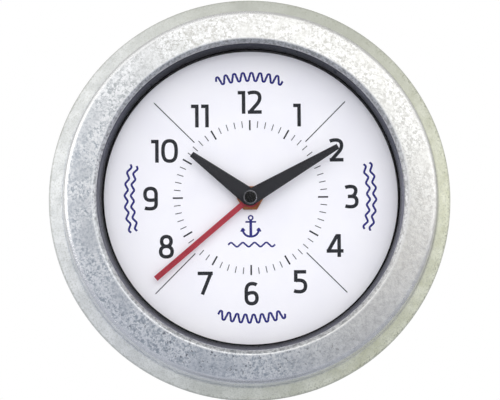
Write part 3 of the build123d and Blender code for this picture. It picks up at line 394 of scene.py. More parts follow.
# %% Galvanised finish: the flange
cloud = noise(place, 9.0, detail=4.0, roughness=0.6).ramp(0.36, 0.64)
grain = noise(place, 0.8, detail=4.0, roughness=0.7)
blotch = cloud * 0.75 + tone * 0.25
patina = blotch.tint(colour(218, 220, 219), colour(246, 247, 246))
stained = blotch.tint(colour(204, 205, 178), colour(235, 236, 216))
# Painted shade: the flange is painted darker towards the top, less so at the far left
top_shade = height.ramp(0, 90) * (0.3 + 0.38 * across.ramp(-65, -5))
patina = laid(top_shade, laid(warm, patina, stained), colour(158, 161, 157))
patina = laid(grain.ramp(0.5, 0.62) * 0.5, patina, colour(176, 178, 166))
specks = noise(place, 1.2, detail=2.0).ramp(0.57, 0.66) * radius.ramp(105.5, 109.5) * warm
patina = laid(specks * 0.7, patina, colour(132, 134, 112))

# %% Galvanised finish: all together
zinc = laid(flange, spangle, patina)
mottled = fleck.ramp(0.38, 0.6).tint(colour(146, 147, 149), colour(212, 213, 215))
zinc = laid(lip * 0.75, zinc, mottled)
# Painted highlights: near white on the outer bend, weaker away from the light and where dust lies,
# and at half strength on the crest of the lip's edge
bright = bend_highlight * (0.85 - 0.65 * away_from_light) * (1 - 0.8 * dusty) + edge * 0.5
zinc = laid(bright, zinc, colour(254, 254, 254))
# Painted shade in the crease at the drum's foot, deeper away from the light
zinc = laid(crease_shade * (0.05 + 0.5 * away_from_light), zinc, colour(112, 114, 110))
feed(shader, "Base Color", laid(rim_dirt * 0.5, zinc, colour(150, 152, 142)))
feed(shader, "Metallic", 0.92 - 0.62 * flange)
feed(shader, "Roughness", 0.44 - 0.12 * tone + flange * 0.14 - bend_highlight * (0.16 - 0.12 * away_from_light))
bump(shader, tone * (1 - flange * 0.7) + cloud * 0.4 + grain * 0.3, 0.08)
print("galvanised finish:", len(galvanised.node_tree.nodes), "nodes")

# %% [markdown]
# ## Paint, plastic, glass and ink
#
# The dial is screen-printed sheet under flat glass. Its white has a faint cool cast, and
# its inks are matt. The ring behind the glass is satin black: its slope is polished and
# mirrors the studio, its foot is not, and it is painted darker towards the top as shade. The
# glass reflects more at a slant, which a Fresnel factor between a clear and a glossy shader
# gives, and it doesn't bend the light.


# %% Simple finishes of the front
UNEVEN_GLOSS = 0.06


def painted(
    name, dark, light, patch, roughness, metallic=0.0, shine=0.5, texture=0.0, texture_size=0.4
):
    """Paint or plastic with faint patches of tone, uneven gloss and a fine texture."""
    material, shader, place = new_finish(name, Metallic=metallic, Specular_IOR_Level=shine)
    patches = noise(place, patch).ramp(0.3, 0.7)
    feed(shader, "Base Color", patches.tint(colour(*dark), colour(*light)))
    feed(shader, "Roughness", roughness + UNEVEN_GLOSS * (patches - 0.5))
    if texture:
        bump(shader, noise(place, texture_size, detail=2.0), texture)
    return material


dial_white = painted("dial_white_paint", (246, 245, 252), (251, 250, 255), 22.0, 0.55)
charcoal_ink = painted("numeral_ink", (36, 38, 43), (46, 48, 54), 2.0, 0.6, shine=0.2)
navy_ink = painted("navy_ink", (36, 36, 112), (50, 50, 132), 2.0, 0.6, shine=0.2)
seal_black = painted("seal_matt_black", (7, 7, 9), (13, 13, 15), 5.0, 0.8, shine=0.08, texture=0.02)
hand_charcoal = painted(
    "hand_charcoal_paint", (35, 35, 40), (44, 44, 49), 6.0, 0.5, shine=0.25, texture=0.01
)
hand_red = painted(
    "tide_hand_red_paint", (160, 44, 58), (174, 54, 68), 6.0, 0.45, shine=0.3, texture=0.01
)
brass = painted(
    "nut_warm_brass", (142, 84, 52), (176, 116, 76), 3.0, 0.34, metallic=0.85, texture=0.008
)

# %% Satin black and glass
satin_black, shader, place = new_finish("spacer_satin_black")
polish_and_top_shade = from_axis(place).ramp(80.7, 83.0) * (0.85 + 0.3 * noise(place, 9.0))
# Painted shade: towards the top the ring is painted darker and less metallic
polish_and_top_shade = polish_and_top_shade * (1 - 0.62 * coordinate(place, "Z").ramp(42, 72))
feed(shader, "Base Color", polish_and_top_shade.tint(colour(26, 26, 32), colour(112, 113, 124)))
feed(shader, "Metallic", 0.15 + 0.6 * polish_and_top_shade)
feed(shader, "Roughness", 0.24 + 0.1 * noise(place, 2.0))

lens_glass = bpy.data.materials.new("lens_glass_clear")
lens_glass.use_nodes = True
tree = lens_glass.node_tree
tree.nodes.remove(tree.nodes["Principled BSDF"])
start = Wire(tree)
facing = start.node("ShaderNodeFresnel", None, {"IOR": 1.3})
clear = start.node("ShaderNodeBsdfTransparent", None, {"Color": (1, 1, 1, 1)})
gloss = start.node("ShaderNodeBsdfGlossy", None, {"Roughness": 0.02})
pane = start.node("ShaderNodeMixShader", None, {0: facing * 0.22, 1: clear, 2: gloss})
tree.links.new(pane.socket, tree.nodes["Material Output"].inputs["Surface"])
print("materials so far:", len(bpy.data.materials))

# %% [markdown]
# ## The bezel, spun from its section
#
# A press forms the real bezel from one disc of sheet. Any ring like that is one section
# swept round an axis, so the section is drawn point by point with vertex extrudes, its
# bends are rounded with a vertex bevel, and Spin turns it round the dial. Solidify then
# gives the sheet its thickness.


# %% Draw a section and spin it
def draw_section(name, points, closed=False):
    """A wire above the x axis: x is a radius and z a height, both in millimetres."""
    deselect_all()
    first = Vector((points[0][0], 0, points[0][1])) * MM
    bpy.ops.mesh.primitive_plane_add(size=MM)
    wire = bpy.context.object
    wire.name = wire.data.name = name
    bpy.ops.object.mode_set(mode="EDIT")
    bpy.ops.mesh.select_all(action="SELECT")
    bpy.ops.mesh.merge(type="CENTER")
    bpy.ops.transform.translate(value=first)
    for start, end in zip(points, points[1:]):
        step = Vector((end[0] - start[0], 0, end[1] - start[1])) * MM
        bpy.ops.mesh.extrude_region_move(TRANSFORM_OT_translate={"value": step})
    if closed:
        ends = [Vector((p[0], 0, p[1])) * MM for p in (points[0], points[-1])]
        select_verts(lambda v: min((v.co - e).length for e in ends) < SAME_SPOT)
        bpy.ops.mesh.edge_face_add()
    return wire


def round_bends(bends, segments=4):
    """Rounds corners of the wire in edit mode: each bend is (radius, height, offset)."""
    for radius, height, offset in bends:
        corner = Vector((radius, 0, height)) * MM
        select_verts(lambda v: (v.co - corner).length < SAME_SPOT)
        bpy.ops.mesh.bevel(
            offset=offset * MM, offset_type="OFFSET", segments=segments, affect="VERTICES"
        )


def spin_round(steps):
    """Spins the wire in edit mode once round the axis, and closes the seam and the poles."""
    bpy.ops.mesh.select_mode(type="VERT")
    bpy.ops.mesh.select_all(action="SELECT")
    bpy.ops.mesh.spin(steps=steps, angle=2 * pi, center=(0, 0, 0), axis=(0, 0, 1))
    weld()


# %% The bezel
BAND_MIDDLE = 35.3 * MM
bezel = draw_section("bezel", [
    (83.3, 33.3), (83.3, 35.2), (85.6, 37.2), (101.0, 33.4), (102.6, 13.0),
    (110.0, 8.6), (110.0, 5.2), (107.6, 4.4),
])
round_bends([(83.3, 35.2, 0.7), (85.6, 37.2, 0.7), (101.0, 33.4, 2.3), (102.6, 13.0, 0.25)])
round_bends([(110.0, 8.6, 1.2), (110.0, 5.2, 0.8)])
spin_round(256)
bpy.ops.object.mode_set(mode="OBJECT")
band_face = min(bezel.data.polygons, key=lambda f: abs(f.center.z - BAND_MIDDLE))
if band_face.normal.z < 0:
    edit_all(bezel)
    bpy.ops.mesh.flip_normals()
    bpy.ops.object.mode_set(mode="OBJECT")
add_modifier(bezel, "SOLIDIFY", thickness=1.0 * MM, offset=-1, use_even_offset=True)
stand_up(bezel)
smooth(bezel, SPUN)
finish(bezel, "case", galvanised, "galvanised_steel", "front_bezel")

# %% [markdown]
# ## The ring behind the glass, and the glass
#
# A satin black moulding keeps the dial and the glass apart. Its sloping wall is what shows
# between the bezel's lip and the dial, and a thin matt black band lines its foot, a dark
# line round the dial's edge. On the photographed clock both lie a little off centre. The
# glass is a plain disc with a small bevel.


# %% Spacer ring, black foot band and glass
DIAL = 20.0  # height of the dial's face above the wall
OFF_CENTRE = (0.45 * MM, 0.2 * MM, 0)


def behind_glass(piece, finish_of, *replaced):
    """The ring or the black band at its foot stands up a little off centre, and gets its finish."""
    piece.location = OFF_CENTRE
    stand_up(piece)
    smooth(piece, SPUN)
    finish(piece, "case", finish_of, "black_gloss_plastic", *replaced)


spacer = draw_section("spacer_ring", [
    (80.75, DIAL), (80.75, 28.1), (83.3, 30.0), (92.3, 30.0), (92.3, 31.4), (93.5, 31.4),
    (93.5, 28.5), (82.4, 28.0), (82.4, DIAL),
], closed=True)
round_bends([(80.75, 28.1, 0.3), (83.3, 30.0, 0.3), (93.5, 31.4, 0.2)], segments=3)
spin_round(192)
behind_glass(spacer, satin_black, "dial_spacer_ring")

# A thin matt black band at the ring's foot, a dark line round the dial's edge
foot_band = draw_section("dial_foot_band", [
    (79.95, DIAL), (80.1, 27.9), (80.73, 27.9), (80.73, DIAL),
], closed=True)
spin_round(192)
behind_glass(foot_band, seal_black)

glass = draw_section("glass", [
    (0.0, 30.0), (91.6, 30.0), (92.0, 30.4), (92.0, 32.1), (91.6, 32.5), (0.0, 32.5),
])
spin_round(128)
stand_up(glass)
smooth(glass, SPUN)
finish(glass, "case", lens_glass, "lens_glass", "glass_lens")

# %% [markdown]
# ## The printed dial
#
# The dial's ink is a few hundredths of a millimetre thick, so each mark is a thin plate on
# the sheet. All ticks of a kind are one tick that Spin copies round the centre. The print
# of the photographed clock lies a fraction of a millimetre up and to the right of the
# hands' axis, so every printed piece is shifted alike.


# %% Ticks and quarter lines
INK = 0.04  # how thick the ink is
PRINT_SHIFT = (0.2 * MM, 0.38 * MM, 0)


def print_up(piece):
    """A printed piece stands up a little off centre, where the print lies on the dial."""
    piece.location = PRINT_SHIFT
    stand_up(piece)


def bar(name, inner, outer, width, hour_angle=0.0, base=DIAL):
    """A thin bar on the bench from an inner to an outer radius, at an hour angle."""
    deselect_all()
    middle = (inner + outer) / 2
    bpy.ops.mesh.primitive_plane_add(size=MM, location=(0, middle * MM, base * MM))
    piece = bpy.context.object
    piece.name = piece.data.name = name
    piece.scale = (width, outer - inner, 1)
    settle(piece)
    piece.rotation_euler = (0, 0, -radians(hour_angle))
    settle(piece)
    bpy.ops.object.mode_set(mode="EDIT")
    bpy.ops.mesh.select_all(action="SELECT")
    bpy.ops.mesh.extrude_region_move(TRANSFORM_OT_translate={"value": (0, 0, INK * MM)})
    bpy.ops.object.mode_set(mode="OBJECT")
    return piece


def copy_round(piece, count):
    """The piece is copied count times round the axis, in its own mesh."""
    edit_all(piece)
    bpy.ops.mesh.spin(steps=count, dupli=True, angle=2 * pi, center=(0, 0, 0), axis=(0, 0, 1))
    weld()
    bpy.ops.object.mode_set(mode="OBJECT")


minute_ticks = bar("minute_ticks", inner=38.3, outer=41.9, width=0.45)
copy_round(minute_ticks, 60)
hour_ticks = bar("hour_ticks", inner=36.8, outer=42.3, width=0.85, base=DIAL + INK)
copy_round(hour_ticks, 12)
quarter_lines = bar("quarter_lines", inner=42.8, outer=73.7, width=0.53, hour_angle=45)
copy_round(quarter_lines, 4)
for print_piece in (minute_ticks, hour_ticks, quarter_lines):
    print_up(print_piece)
    finish(print_piece, "case", charcoal_ink, "white_dial")

# %% [markdown]
# ## Numerals drawn as pen strokes
#
# The numerals are of the plain road-sign kind, strokes of one width with square ends. Each
# is drawn here as a sign painter would: a few strokes along listed curves. A stroke is a
# Bezier curve with a round section, which is made a mesh and then squashed to the
# thickness of the ink, so its outline stays a clean band with square ends.


# %% Pen strokes
LIFT = 0.002  # each stroke of a mark lies this much above the last, so that none flickers


def pen_stroke(points, width, base=DIAL, soft=False):
    """A flat band of ink along a curve in the dial's plane, in millimetres.

    The points are a start and then two handles and an end for each bend. Two points alone
    give a straight stroke, and with soft the curve runs smoothly through all points."""
    deselect_all()
    bpy.ops.curve.primitive_bezier_curve_add(location=(0, 0, 0))
    curve = bpy.context.object
    curve.data.splines.remove(curve.data.splines[0])
    spline = curve.data.splines.new("BEZIER")
    ends = points if soft or len(points) == 2 else points[::3]
    spline.bezier_points.add(len(ends) - 1)
    handles = "AUTO" if soft else "VECTOR" if len(points) == 2 else "FREE"
    for index, (knot, end) in enumerate(zip(spline.bezier_points, ends)):
        knot.co = (end[0] * MM, end[1] * MM, 0)
        knot.handle_left_type = knot.handle_right_type = handles
        if handles == "FREE":
            before = points[max(3 * index - 1, 0)]
            after = points[min(3 * index + 1, len(points) - 1)]
            knot.handle_left = (before[0] * MM, before[1] * MM, 0)
            knot.handle_right = (after[0] * MM, after[1] * MM, 0)
    curve.data.dimensions = "3D"
    curve.data.resolution_u = 10
    curve.data.bevel_depth = width / 2 * MM
    curve.data.bevel_resolution = 2
    curve.data.use_fill_caps = True
    pick(curve)
    bpy.ops.object.convert(target="MESH")
    band = bpy.context.object
    band.scale = (1, 1, INK / width)
    settle(band)
    band.location = (0, 0, (base + INK / 2) * MM)
    settle(band)
    return band


def joined(name, parts):
    """Several meshes become one piece with a name."""
    pick(parts[0])
    for part in parts[1:]:
        part.select_set(True)
    if len(parts) > 1:
        bpy.ops.object.join()
    piece = bpy.context.object
    piece.name = piece.data.name = name
    return piece


def moved(piece, x, y):
    """Moves a piece over the bench, in millimetres."""
    piece.location = (x * MM, y * MM, 0)
    settle(piece)
    return piece


def printed(name, bands, ink):
    """Bands of ink become one piece, printed on the dial."""
    piece = joined(name, bands)
    print_up(piece)
    smooth(piece, INKED)
    finish(piece, "case", ink, "white_dial")


# %% The ten digits
PEN = 1.95
DIGIT_HEIGHT = 12.5
DIGIT_GAP = 1.25
digit_strokes = {
    "0": [
        [(1.05, 6.4), (1.05, 2.3), (2.2, 0.8), (4.65, 0.8), (7.1, 0.8), (8.25, 2.3), (8.25, 6.4),
         (8.25, 10.4), (7.1, 11.9), (4.65, 11.9), (2.2, 11.9), (1.05, 10.4), (1.05, 6.4)],
    ],
    "1": [
        [(3.25, 0.0), (3.25, 12.5)],
        [(0.1, 11.55), (3.3, 11.55)],
    ],
    "2": [
        [(0.2, 11.1), (1.4, 11.6), (2.4, 11.72), (3.5, 11.72), (5.6, 11.72), (6.62, 10.6),
         (6.62, 8.8), (6.62, 7.2), (5.7, 5.9), (4.4, 4.5), (3.3, 3.3), (2.3, 2.2), (1.25, 0.95)],
        [(0.05, 0.88), (7.6, 0.88)],
    ],
    "3": [
        [(0.15, 11.3), (1.2, 11.65), (2.2, 11.8), (3.1, 11.8), (4.9, 11.8), (5.9, 11.0),
         (5.9, 9.6), (5.9, 8.0), (4.9, 6.5), (3.4, 6.4)],
        [(1.55, 6.4), (3.9, 6.4)],
        [(3.4, 6.4), (5.5, 6.4), (6.43, 5.4), (6.43, 3.7), (6.43, 1.7), (5.2, 0.78), (3.2, 0.78),
         (2.2, 0.78), (1.1, 0.9), (0.15, 1.2)],
    ],
    "4": [
        [(6.93, 0.0), (6.93, 12.4)],
        [(5.95, 11.9), (0.95, 3.2)],
        [(0.1, 3.3), (9.3, 3.3)],
        [(5.2, 11.5), (7.8, 11.5)],
    ],
    "5": [
        [(0.3, 11.6), (6.95, 11.6)],
        [(1.25, 12.5), (1.25, 6.15)],
        [(1.25, 6.9), (2.2, 7.05), (2.8, 7.05), (3.4, 7.0), (5.4, 6.9), (6.5, 5.8), (6.5, 4.0),
         (6.5, 1.8), (5.3, 0.78), (3.3, 0.78), (2.2, 0.78), (1.2, 0.95), (0.2, 1.25)],
    ],
    "6": [
        [(6.75, 11.0), (5.9, 11.55), (5.0, 11.7), (4.2, 11.7), (2.2, 11.7), (1.05, 10.2),
         (1.05, 7.6), (1.05, 6.4), (1.05, 5.2), (1.05, 4.0), (1.05, 1.9), (2.1, 0.82), (3.95, 0.82),
         (5.8, 0.82), (6.85, 1.9), (6.85, 3.85), (6.85, 5.8), (5.9, 6.8), (4.4, 6.8), (3.2, 6.8),
         (2.0, 6.4), (1.3, 5.7)],
    ],
    "7": [
        [(0.05, 11.5), (8.25, 11.5)],
        [(7.25, 11.7), (2.5, 0.0)],
    ],
    "8": [
        [(4.18, 6.5), (2.6, 6.5), (1.62, 7.6), (1.62, 9.2), (1.62, 10.9), (2.6, 11.85),
         (4.18, 11.85), (5.76, 11.85), (6.74, 10.9), (6.74, 9.2), (6.74, 7.6), (5.76, 6.5),
         (4.18, 6.5)],
        [(4.18, 6.5), (2.1, 6.5), (1.05, 5.3), (1.05, 3.6), (1.05, 1.8), (2.2, 0.78), (4.18, 0.78),
         (6.16, 0.78), (7.3, 1.8), (7.3, 3.6), (7.3, 5.3), (6.26, 6.5), (4.18, 6.5)],
    ],
    "9": [
        [(0.95, 1.15), (1.9, 0.85), (3.0, 0.78), (4.0, 0.78), (6.1, 0.78), (7.1, 1.7), (7.1, 3.6),
         (7.1, 5.3), (7.1, 7.0), (7.1, 8.6), (7.1, 10.8), (6.0, 11.85), (4.1, 11.85), (2.1, 11.85),
         (1.05, 10.8), (1.05, 8.7), (1.05, 6.4), (2.1, 5.4), (4.0, 5.4), (5.2, 5.4), (6.2, 5.5),
         (7.0, 5.9)],
    ],
}
digit_widths = {
    "0": 9.3, "1": 4.25, "2": 7.6, "3": 7.45, "4": 9.3,
    "5": 7.5, "6": 7.9, "7": 8.3, "8": 8.35, "9": 8.15,
}
numeral_places = {
    "12": (0.0, 52.1), "1": (25.8, 44.9), "2": (47.1, 25.6), "3": (55.2, 0.0), "4": (45.7, -26.6),
    "5": (26.7, -46.1), "6": (0.1, -52.4), "7": (-25.0, -46.4), "8": (-46.0, -26.5),
    "9": (-54.4, -0.2), "10": (-46.6, 25.7), "11": (-27.2, 44.8),
}
for numeral, (x, y) in numeral_places.items():
    total = sum(digit_widths[d] for d in numeral) + DIGIT_GAP * (len(numeral) - 1)
    left, bands = x - total / 2, []
    for digit in numeral:
        for number, stroke in enumerate(digit_strokes[digit]):
            band = pen_stroke(stroke, PEN, base=DIAL + LIFT * number)
            bands.append(moved(band, left, y - DIGIT_HEIGHT / 2))
        left += digit_widths[digit] + DIGIT_GAP
    printed("numeral_" + numeral, bands, charcoal_ink)

# %% [markdown]
# ## Marks of the tide scale
#
# Round the edge the tide hand is read against four navy marks: high water at the top and
# the bottom, low water at the sides. High water is a tall wave and low water two flat
# ripples. A plain anchor over one ripple stands below the middle.


# %% Waves and anchor
MARK_RADIUS, MARK_SPAN, MARK_PEN = 66.0, 32, 1.15  # the span is in degrees


def wave(radius, crests, rise, hour_angle):
    """A wavy band of ink along an arc of the dial round an hour angle."""
    points = []
    steps = 4 * crests
    for step in range(steps + 1):
        swing = rise * sin(step / 4 * 2 * pi)
        angle = radians(hour_angle + MARK_SPAN * (step / steps - 0.5))
        points.append(((radius + swing) * sin(angle), (radius + swing) * cos(angle)))
    return pen_stroke(points, MARK_PEN, soft=True)


for name, hour_angle in (("high_water_top", 0), ("high_water_bottom", 180)):
    printed(name, [wave(MARK_RADIUS, crests=8, rise=2.2, hour_angle=hour_angle)], navy_ink)
for name, hour_angle in (("low_water_right", 90), ("low_water_left", 270)):
    ripples = [wave(MARK_RADIUS + side, crests=6, rise=0.8, hour_angle=hour_angle)
               for side in (1.7, -1.7)]
    printed(name, ripples, navy_ink)

anchor_strokes = [  # each with its width
    (1.5, [(0, -12.0), (0, -21.2)]),
    (0.95, [(-2.9, -13.3), (2.9, -13.3)]),
    (1.15, [(-4.4, -17.4), (-4.2, -19.8), (-2.4, -21.3), (0, -21.3),
            (2.4, -21.3), (4.2, -19.8), (4.4, -17.4)]),
    (0.85, [(-5.4, -18.6), (-4.4, -16.7)]), (0.85, [(5.4, -18.6), (4.4, -16.7)]),
    (0.85, [(-3.3, -18.1), (-4.4, -16.7)]), (0.85, [(3.3, -18.1), (4.4, -16.7)]),
    (0.8, [(0, -12.2), (-0.9, -12.2), (-1.15, -11.5), (-1.15, -11.05), (-1.15, -10.4),
           (-0.6, -9.9), (0, -9.9), (0.6, -9.9), (1.15, -10.4), (1.15, -11.05),
           (1.15, -11.5), (0.9, -12.2), (0, -12.2)]),
]
bands = [pen_stroke(stroke, width, base=DIAL + LIFT * number)
         for number, (width, stroke) in enumerate(anchor_strokes)]
printed("anchor", bands, navy_ink)
swell = [(-12.4 + 25.6 * k / 16, -25.7 + 1.1 * (0, 1, 0, -1)[k % 4]) for k in range(17)]
printed("ripple_below_anchor", [pen_stroke(swell, 0.95, soft=True)], navy_ink)

# %% [markdown]
# ## The dial sheet
#
# The dial itself is a plain disc of sheet. Its solid shows all there is to it, so it stays
# and only gets its white. The works inside are dressed the same way further down.


# %% Dress the dial's solid
def dress_node(name, finish_of):
    """A CAD node keeps its mesh and wears a better material."""
    mesh = nodes[name].data
    for index in range(max(len(mesh.materials), 1)):
        if index < len(mesh.materials):
            mesh.materials[index] = finish_of
        else:
            mesh.materials.append(finish_of)


dress_node("dial_plate", dial_white)

# %% [markdown]
# ## Hands
#
# The hands are stamped sheet, painted, with softly rounded edges. The blade is a flat box
# that is tapered in edit mode and joined to a round root with a Boolean modifier.


# %% Cut a hand
SHEET = 0.5


def stamped_hand(name, base, length, root_width, tip_width, root_radius, hour_angle):
    """A flat hand: a disc round the axis and a blade that points at an hour angle."""
    deselect_all()
    middle = (base + SHEET / 2) * MM
    bpy.ops.mesh.primitive_cylinder_add(
        vertices=96, radius=root_radius * MM, depth=SHEET * MM, location=(0, 0, middle)
    )
    root = bpy.context.object
    root.name = root.data.name = name
    settle(root)
    bpy.ops.mesh.primitive_cube_add(size=MM, location=(0, length / 2 * MM, middle))
    blade = bpy.context.object
    blade.scale = (root_width, length, SHEET)
    settle(blade)
    bpy.ops.object.mode_set(mode="EDIT")
    select_verts(lambda v: v.co.y > length / 2 * MM)
    taper = (tip_width / root_width, 1, 1)
    bpy.ops.transform.resize(value=taper, center_override=(0, length * MM, 0))
    bpy.ops.object.mode_set(mode="OBJECT")
    combine(root, blade, "UNION")
    round_edges(root, width=0.14, segments=2, angle=50)
    root.rotation_euler = (0, 0, -radians(hour_angle))
    stand_up(root)
    smooth(root, STAMPED)
    return root


tide_blade = stamped_hand(
    "tide_hand_blade", base=23.3, length=67.65, root_width=3.05, tip_width=3.05,
    root_radius=5.2, hour_angle=229.8,
)
finish(tide_blade, "tide", hand_red, "hand_red", "tide_hand")
hour_blade = stamped_hand(
    "hour_hand_blade", base=24.9, length=39.7, root_width=9.7, tip_width=3.1,
    root_radius=4.5, hour_angle=307.1,
)
finish(hour_blade, "hour", hand_charcoal, "hand_charcoal", "hour_hand")
minute_blade = stamped_hand(
    "minute_hand_blade", base=26.5, length=55.2, root_width=8.9, tip_width=2.9,
    root_radius=4.1, hour_angle=60.2,
)
finish(minute_blade, "minute", hand_charcoal, "hand_charcoal", "minute_hand")

# %% [markdown]
# ## Nut and cap
#
# A brass hex nut clamps the movement to the dial, and a black cap holds the minute hand.
# The nut is a six-sided cylinder with a bored hole and rounded edges. The cap is turned,
# so it is a section spun round, and a light metallic band along its bevel is a painted
# highlight.


# %% Nut
NUT_LOW, NUT_HIGH = 20.6, 22.6
middle, depth = (NUT_LOW + NUT_HIGH) / 2 * MM, (NUT_HIGH - NUT_LOW) * MM
deselect_all()
bpy.ops.mesh.primitive_cylinder_add(
    vertices=6, radius=7.39 * MM, depth=depth, location=(0, 0, middle)
)
nut = bpy.context.object
nut.name = nut.data.name = "dial_nut"
nut.rotation_euler = (0, 0, radians(30))
settle(nut)
bpy.ops.mesh.primitive_cylinder_add(
    vertices=96, radius=4.55 * MM, depth=2 * depth, location=(0, 0, middle)
)
combine(nut, bpy.context.object, "DIFFERENCE")
round_edges(nut, width=0.35, segments=3, angle=50)
stand_up(nut)
smooth(nut, STAMPED)
finish(nut, "case", brass, "brass", "hex_nut")

# %% Cap
lacquer, shader, place = new_finish("cap_black_lacquer", Specular_IOR_Level=0.3)
# Painted highlight: a light metallic band round the cap's bevel, in patches
bevel_highlight = from_axis(place).band(3.1, 3.3, 3.6, 3.8) * noise(place, 2.6).ramp(0.3, 0.6)
feed(shader, "Base Color", bevel_highlight.tint(colour(7, 7, 9), colour(170, 170, 176)))
feed(shader, "Metallic", bevel_highlight * 0.8)
feed(shader, "Roughness", 0.2 + 0.12 * noise(place, 1.5))
cap = draw_section("hand_cap", [
    (0.0, 27.0), (3.95, 27.0), (3.95, 28.4), (3.15, 29.2), (0.0, 29.2),
])
round_bends([(3.95, 28.4, 0.25), (3.15, 29.2, 0.25)])
spin_round(96)
stand_up(cap)
smooth(cap, SPUN)
finish(cap, "minute", lacquer, "black_nut", "cap_nut")

# %% [markdown]
# ## The back, from softened copies of the solids
#
# Nothing moulded or stamped has a knife edge. The CAD solids of the back have the right
# forms and only their edges are too sharp, so each is copied, its loose triangles are
# merged into clean faces, and a Bevel modifier rounds every edge that turns sharply.

# %% Plastics and metals of the back
casing_black, shader, place = new_finish("casing_black_plastic")
plain = from_axis(place).ramp(95.6, 95.9)
haze = noise(place, 16.0, detail=4.0)
feed(shader, "Base Color", haze.tint(colour(24, 24, 26), colour(35, 35, 37)))
feed(shader, "Roughness", 0.62 - 0.26 * plain + 0.1 * haze)
bump(shader, noise(place, 0.5) * (1 - plain), 0.07)
movement_black = painted(
    "movement_black_plastic", (17, 17, 19), (25, 25, 27), 8.0, 0.38, texture=0.012,
    texture_size=0.5,
)
knob_cream = painted(
    "knob_cream_plastic", (206, 203, 192), (222, 219, 209), 4.0, 0.4, texture=0.01
)
zinc_plate = painted(
    "screw_bright_zinc", (158, 162, 168), (204, 206, 208), 2.2, 0.3, metallic=0.95, texture=0.012
)
hanger_steel = painted(
    "hanger_rolled_steel", (150, 153, 158), (196, 198, 200), 5.0, 0.36, metallic=0.95,
    texture=0.02, texture_size=0.8,
)


def softened(node, name, width, finish_of, body, slot):
    """A new piece with the shape of a CAD node and rounded edges, which stands for it."""
    pick(nodes[node])
    bpy.ops.object.duplicate()
    piece = bpy.context.object
    piece.name = piece.data.name = name
    del piece["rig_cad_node"]
    piece.parent = None
    bpy.ops.mesh.customdata_custom_splitnormals_clear()
    edit_all(piece)
    bpy.ops.mesh.remove_doubles(threshold=WELD)
    bpy.ops.mesh.dissolve_limited(angle_limit=radians(0.5))
    bpy.ops.object.mode_set(mode="OBJECT")
    round_edges(piece, width, segments=2, angle=35)
    smooth(piece, SPUN)
    finish(piece, body, finish_of, slot, node)
    return piece


# %% Cover, hanger, screws and movement
cover = softened("rear_casing", "back_cover", 0.35, casing_black, "case", "black_plastic")
softened("hanger_plate", "hanger", 0.2, hanger_steel, "case", "zinc_steel")
softened("hanger_screws", "hanger_screw_pair", 0.08, zinc_plate, "case", "zinc_steel")
softened("case_screws", "cover_screws", 0.15, zinc_plate, "case", "zinc_steel")
softened("movement_back_case", "movement_back", 0.25, movement_black, "case", "movement_plastic")
softened("movement_front_case", "movement_front", 0.25, movement_black, "case", "movement_plastic")
softened("movement_screws", "movement_screw_set", 0.08, zinc_plate, "case", "zinc_steel")
softened("time_set_knob", "time_knob", 0.18, knob_cream, "minute_wheel_and_knob", "knob_plastic")
softened("tide_set_knob", "tide_knob", 0.18, knob_cream, "tide_idler_and_knob", "knob_plastic")
softened("bezel_brackets", "brackets", 0.15, zinc_plate, "case", "zinc_steel")

# %% [markdown]
# ## Grooves and pin marks in the cover
#
# A moulded cover shows fine grooves, and shallow round marks where pins pushed it out of
# the mould. A small V section is spun into each ring and flat discs are set round, and
# all are cut from the cover with Boolean modifiers.

# %% Cut the grooves and the pin marks
for ring in (52.0, 90.0):
    corners = [(ring - 0.7, -0.2), (ring, 0.5), (ring + 0.7, -0.2)]
    groove = draw_section("groove", corners, closed=True)
    spin_round(192)
    stand_up(groove)
    combine(cover, groove, "DIFFERENCE")

PIN_RING = 72 * MM
pins = []
for number in range(8):
    deselect_all()
    turn = radians(number * 45)
    bpy.ops.mesh.primitive_cylinder_add(
        vertices=32, radius=2.4 * MM, depth=0.4 * MM,
        location=(PIN_RING * cos(turn), PIN_RING * sin(turn), 0.02 * MM),
    )
    pins.append(bpy.context.object)
pin_marks = joined("pin_marks", pins)
stand_up(pin_marks)
combine(cover, pin_marks, "DIFFERENCE")
smooth(cover, SPUN)
print("cover faces:", len(cover.data.polygons))

# %% [markdown]
# ## Battery
#
# One cell lies across the bay. It is turned from a section like the bezel, then laid on
# its side. Its film stops short of the ends, where the bare can shows.

# %% Battery
film, shader, place = new_finish("battery_film")
along = coordinate(place, "X")
wrapped = along.band(-24.3, -24.2, 23.3, 23.4)
silver_ring = along.band(17.0, 17.1, 19.0, 19.1)
scuffs = noise(place, 3.5, detail=4.0).ramp(0.56, 0.74)
jacket = laid(silver_ring, colour(38, 58, 84), colour(186, 188, 192))
jacket = laid(scuffs * 0.12, jacket, colour(96, 104, 116))
feed(shader, "Base Color", laid(wrapped, colour(196, 198, 200), jacket))
feed(shader, "Metallic", 0.95 - 0.75 * wrapped)
feed(shader, "Roughness", 0.26 + 0.15 * scuffs)
cell = draw_section("battery_cell", [
    (0.0, 0.0), (5.6, 0.0), (5.9, 0.3), (6.6, 0.3), (7.1, 0.8), (7.1, 48.7), (6.5, 49.5),
    (2.9, 49.5), (2.6, 49.7), (2.6, 50.2), (2.3, 50.5), (0.0, 50.5),
])
round_bends([(7.1, 0.8, 0.2), (7.1, 48.7, 0.3), (6.5, 49.5, 0.2)], segments=3)
spin_round(96)
bpy.ops.object.mode_set(mode="OBJECT")
cell.rotation_euler = (0, radians(90), 0)
settle(cell)
low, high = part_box("battery")
cell.location = (low[0], (low[2] + high[2]) / 2, -(low[1] + high[1]) / 2)
settle(cell)
stand_up(cell)
smooth(cell, SPUN)
finish(cell, "battery", film, "battery_jacket", "battery")

# %% [markdown]
# ## Marks stamped on the back of the movement
#
# Curved arrows beside the knobs say which way they turn, and a plus and a minus stand
# over the battery's ends. They are the same strokes as the numerals, in the cream of
# the knobs, as if a hot foil had been pressed on the plate.


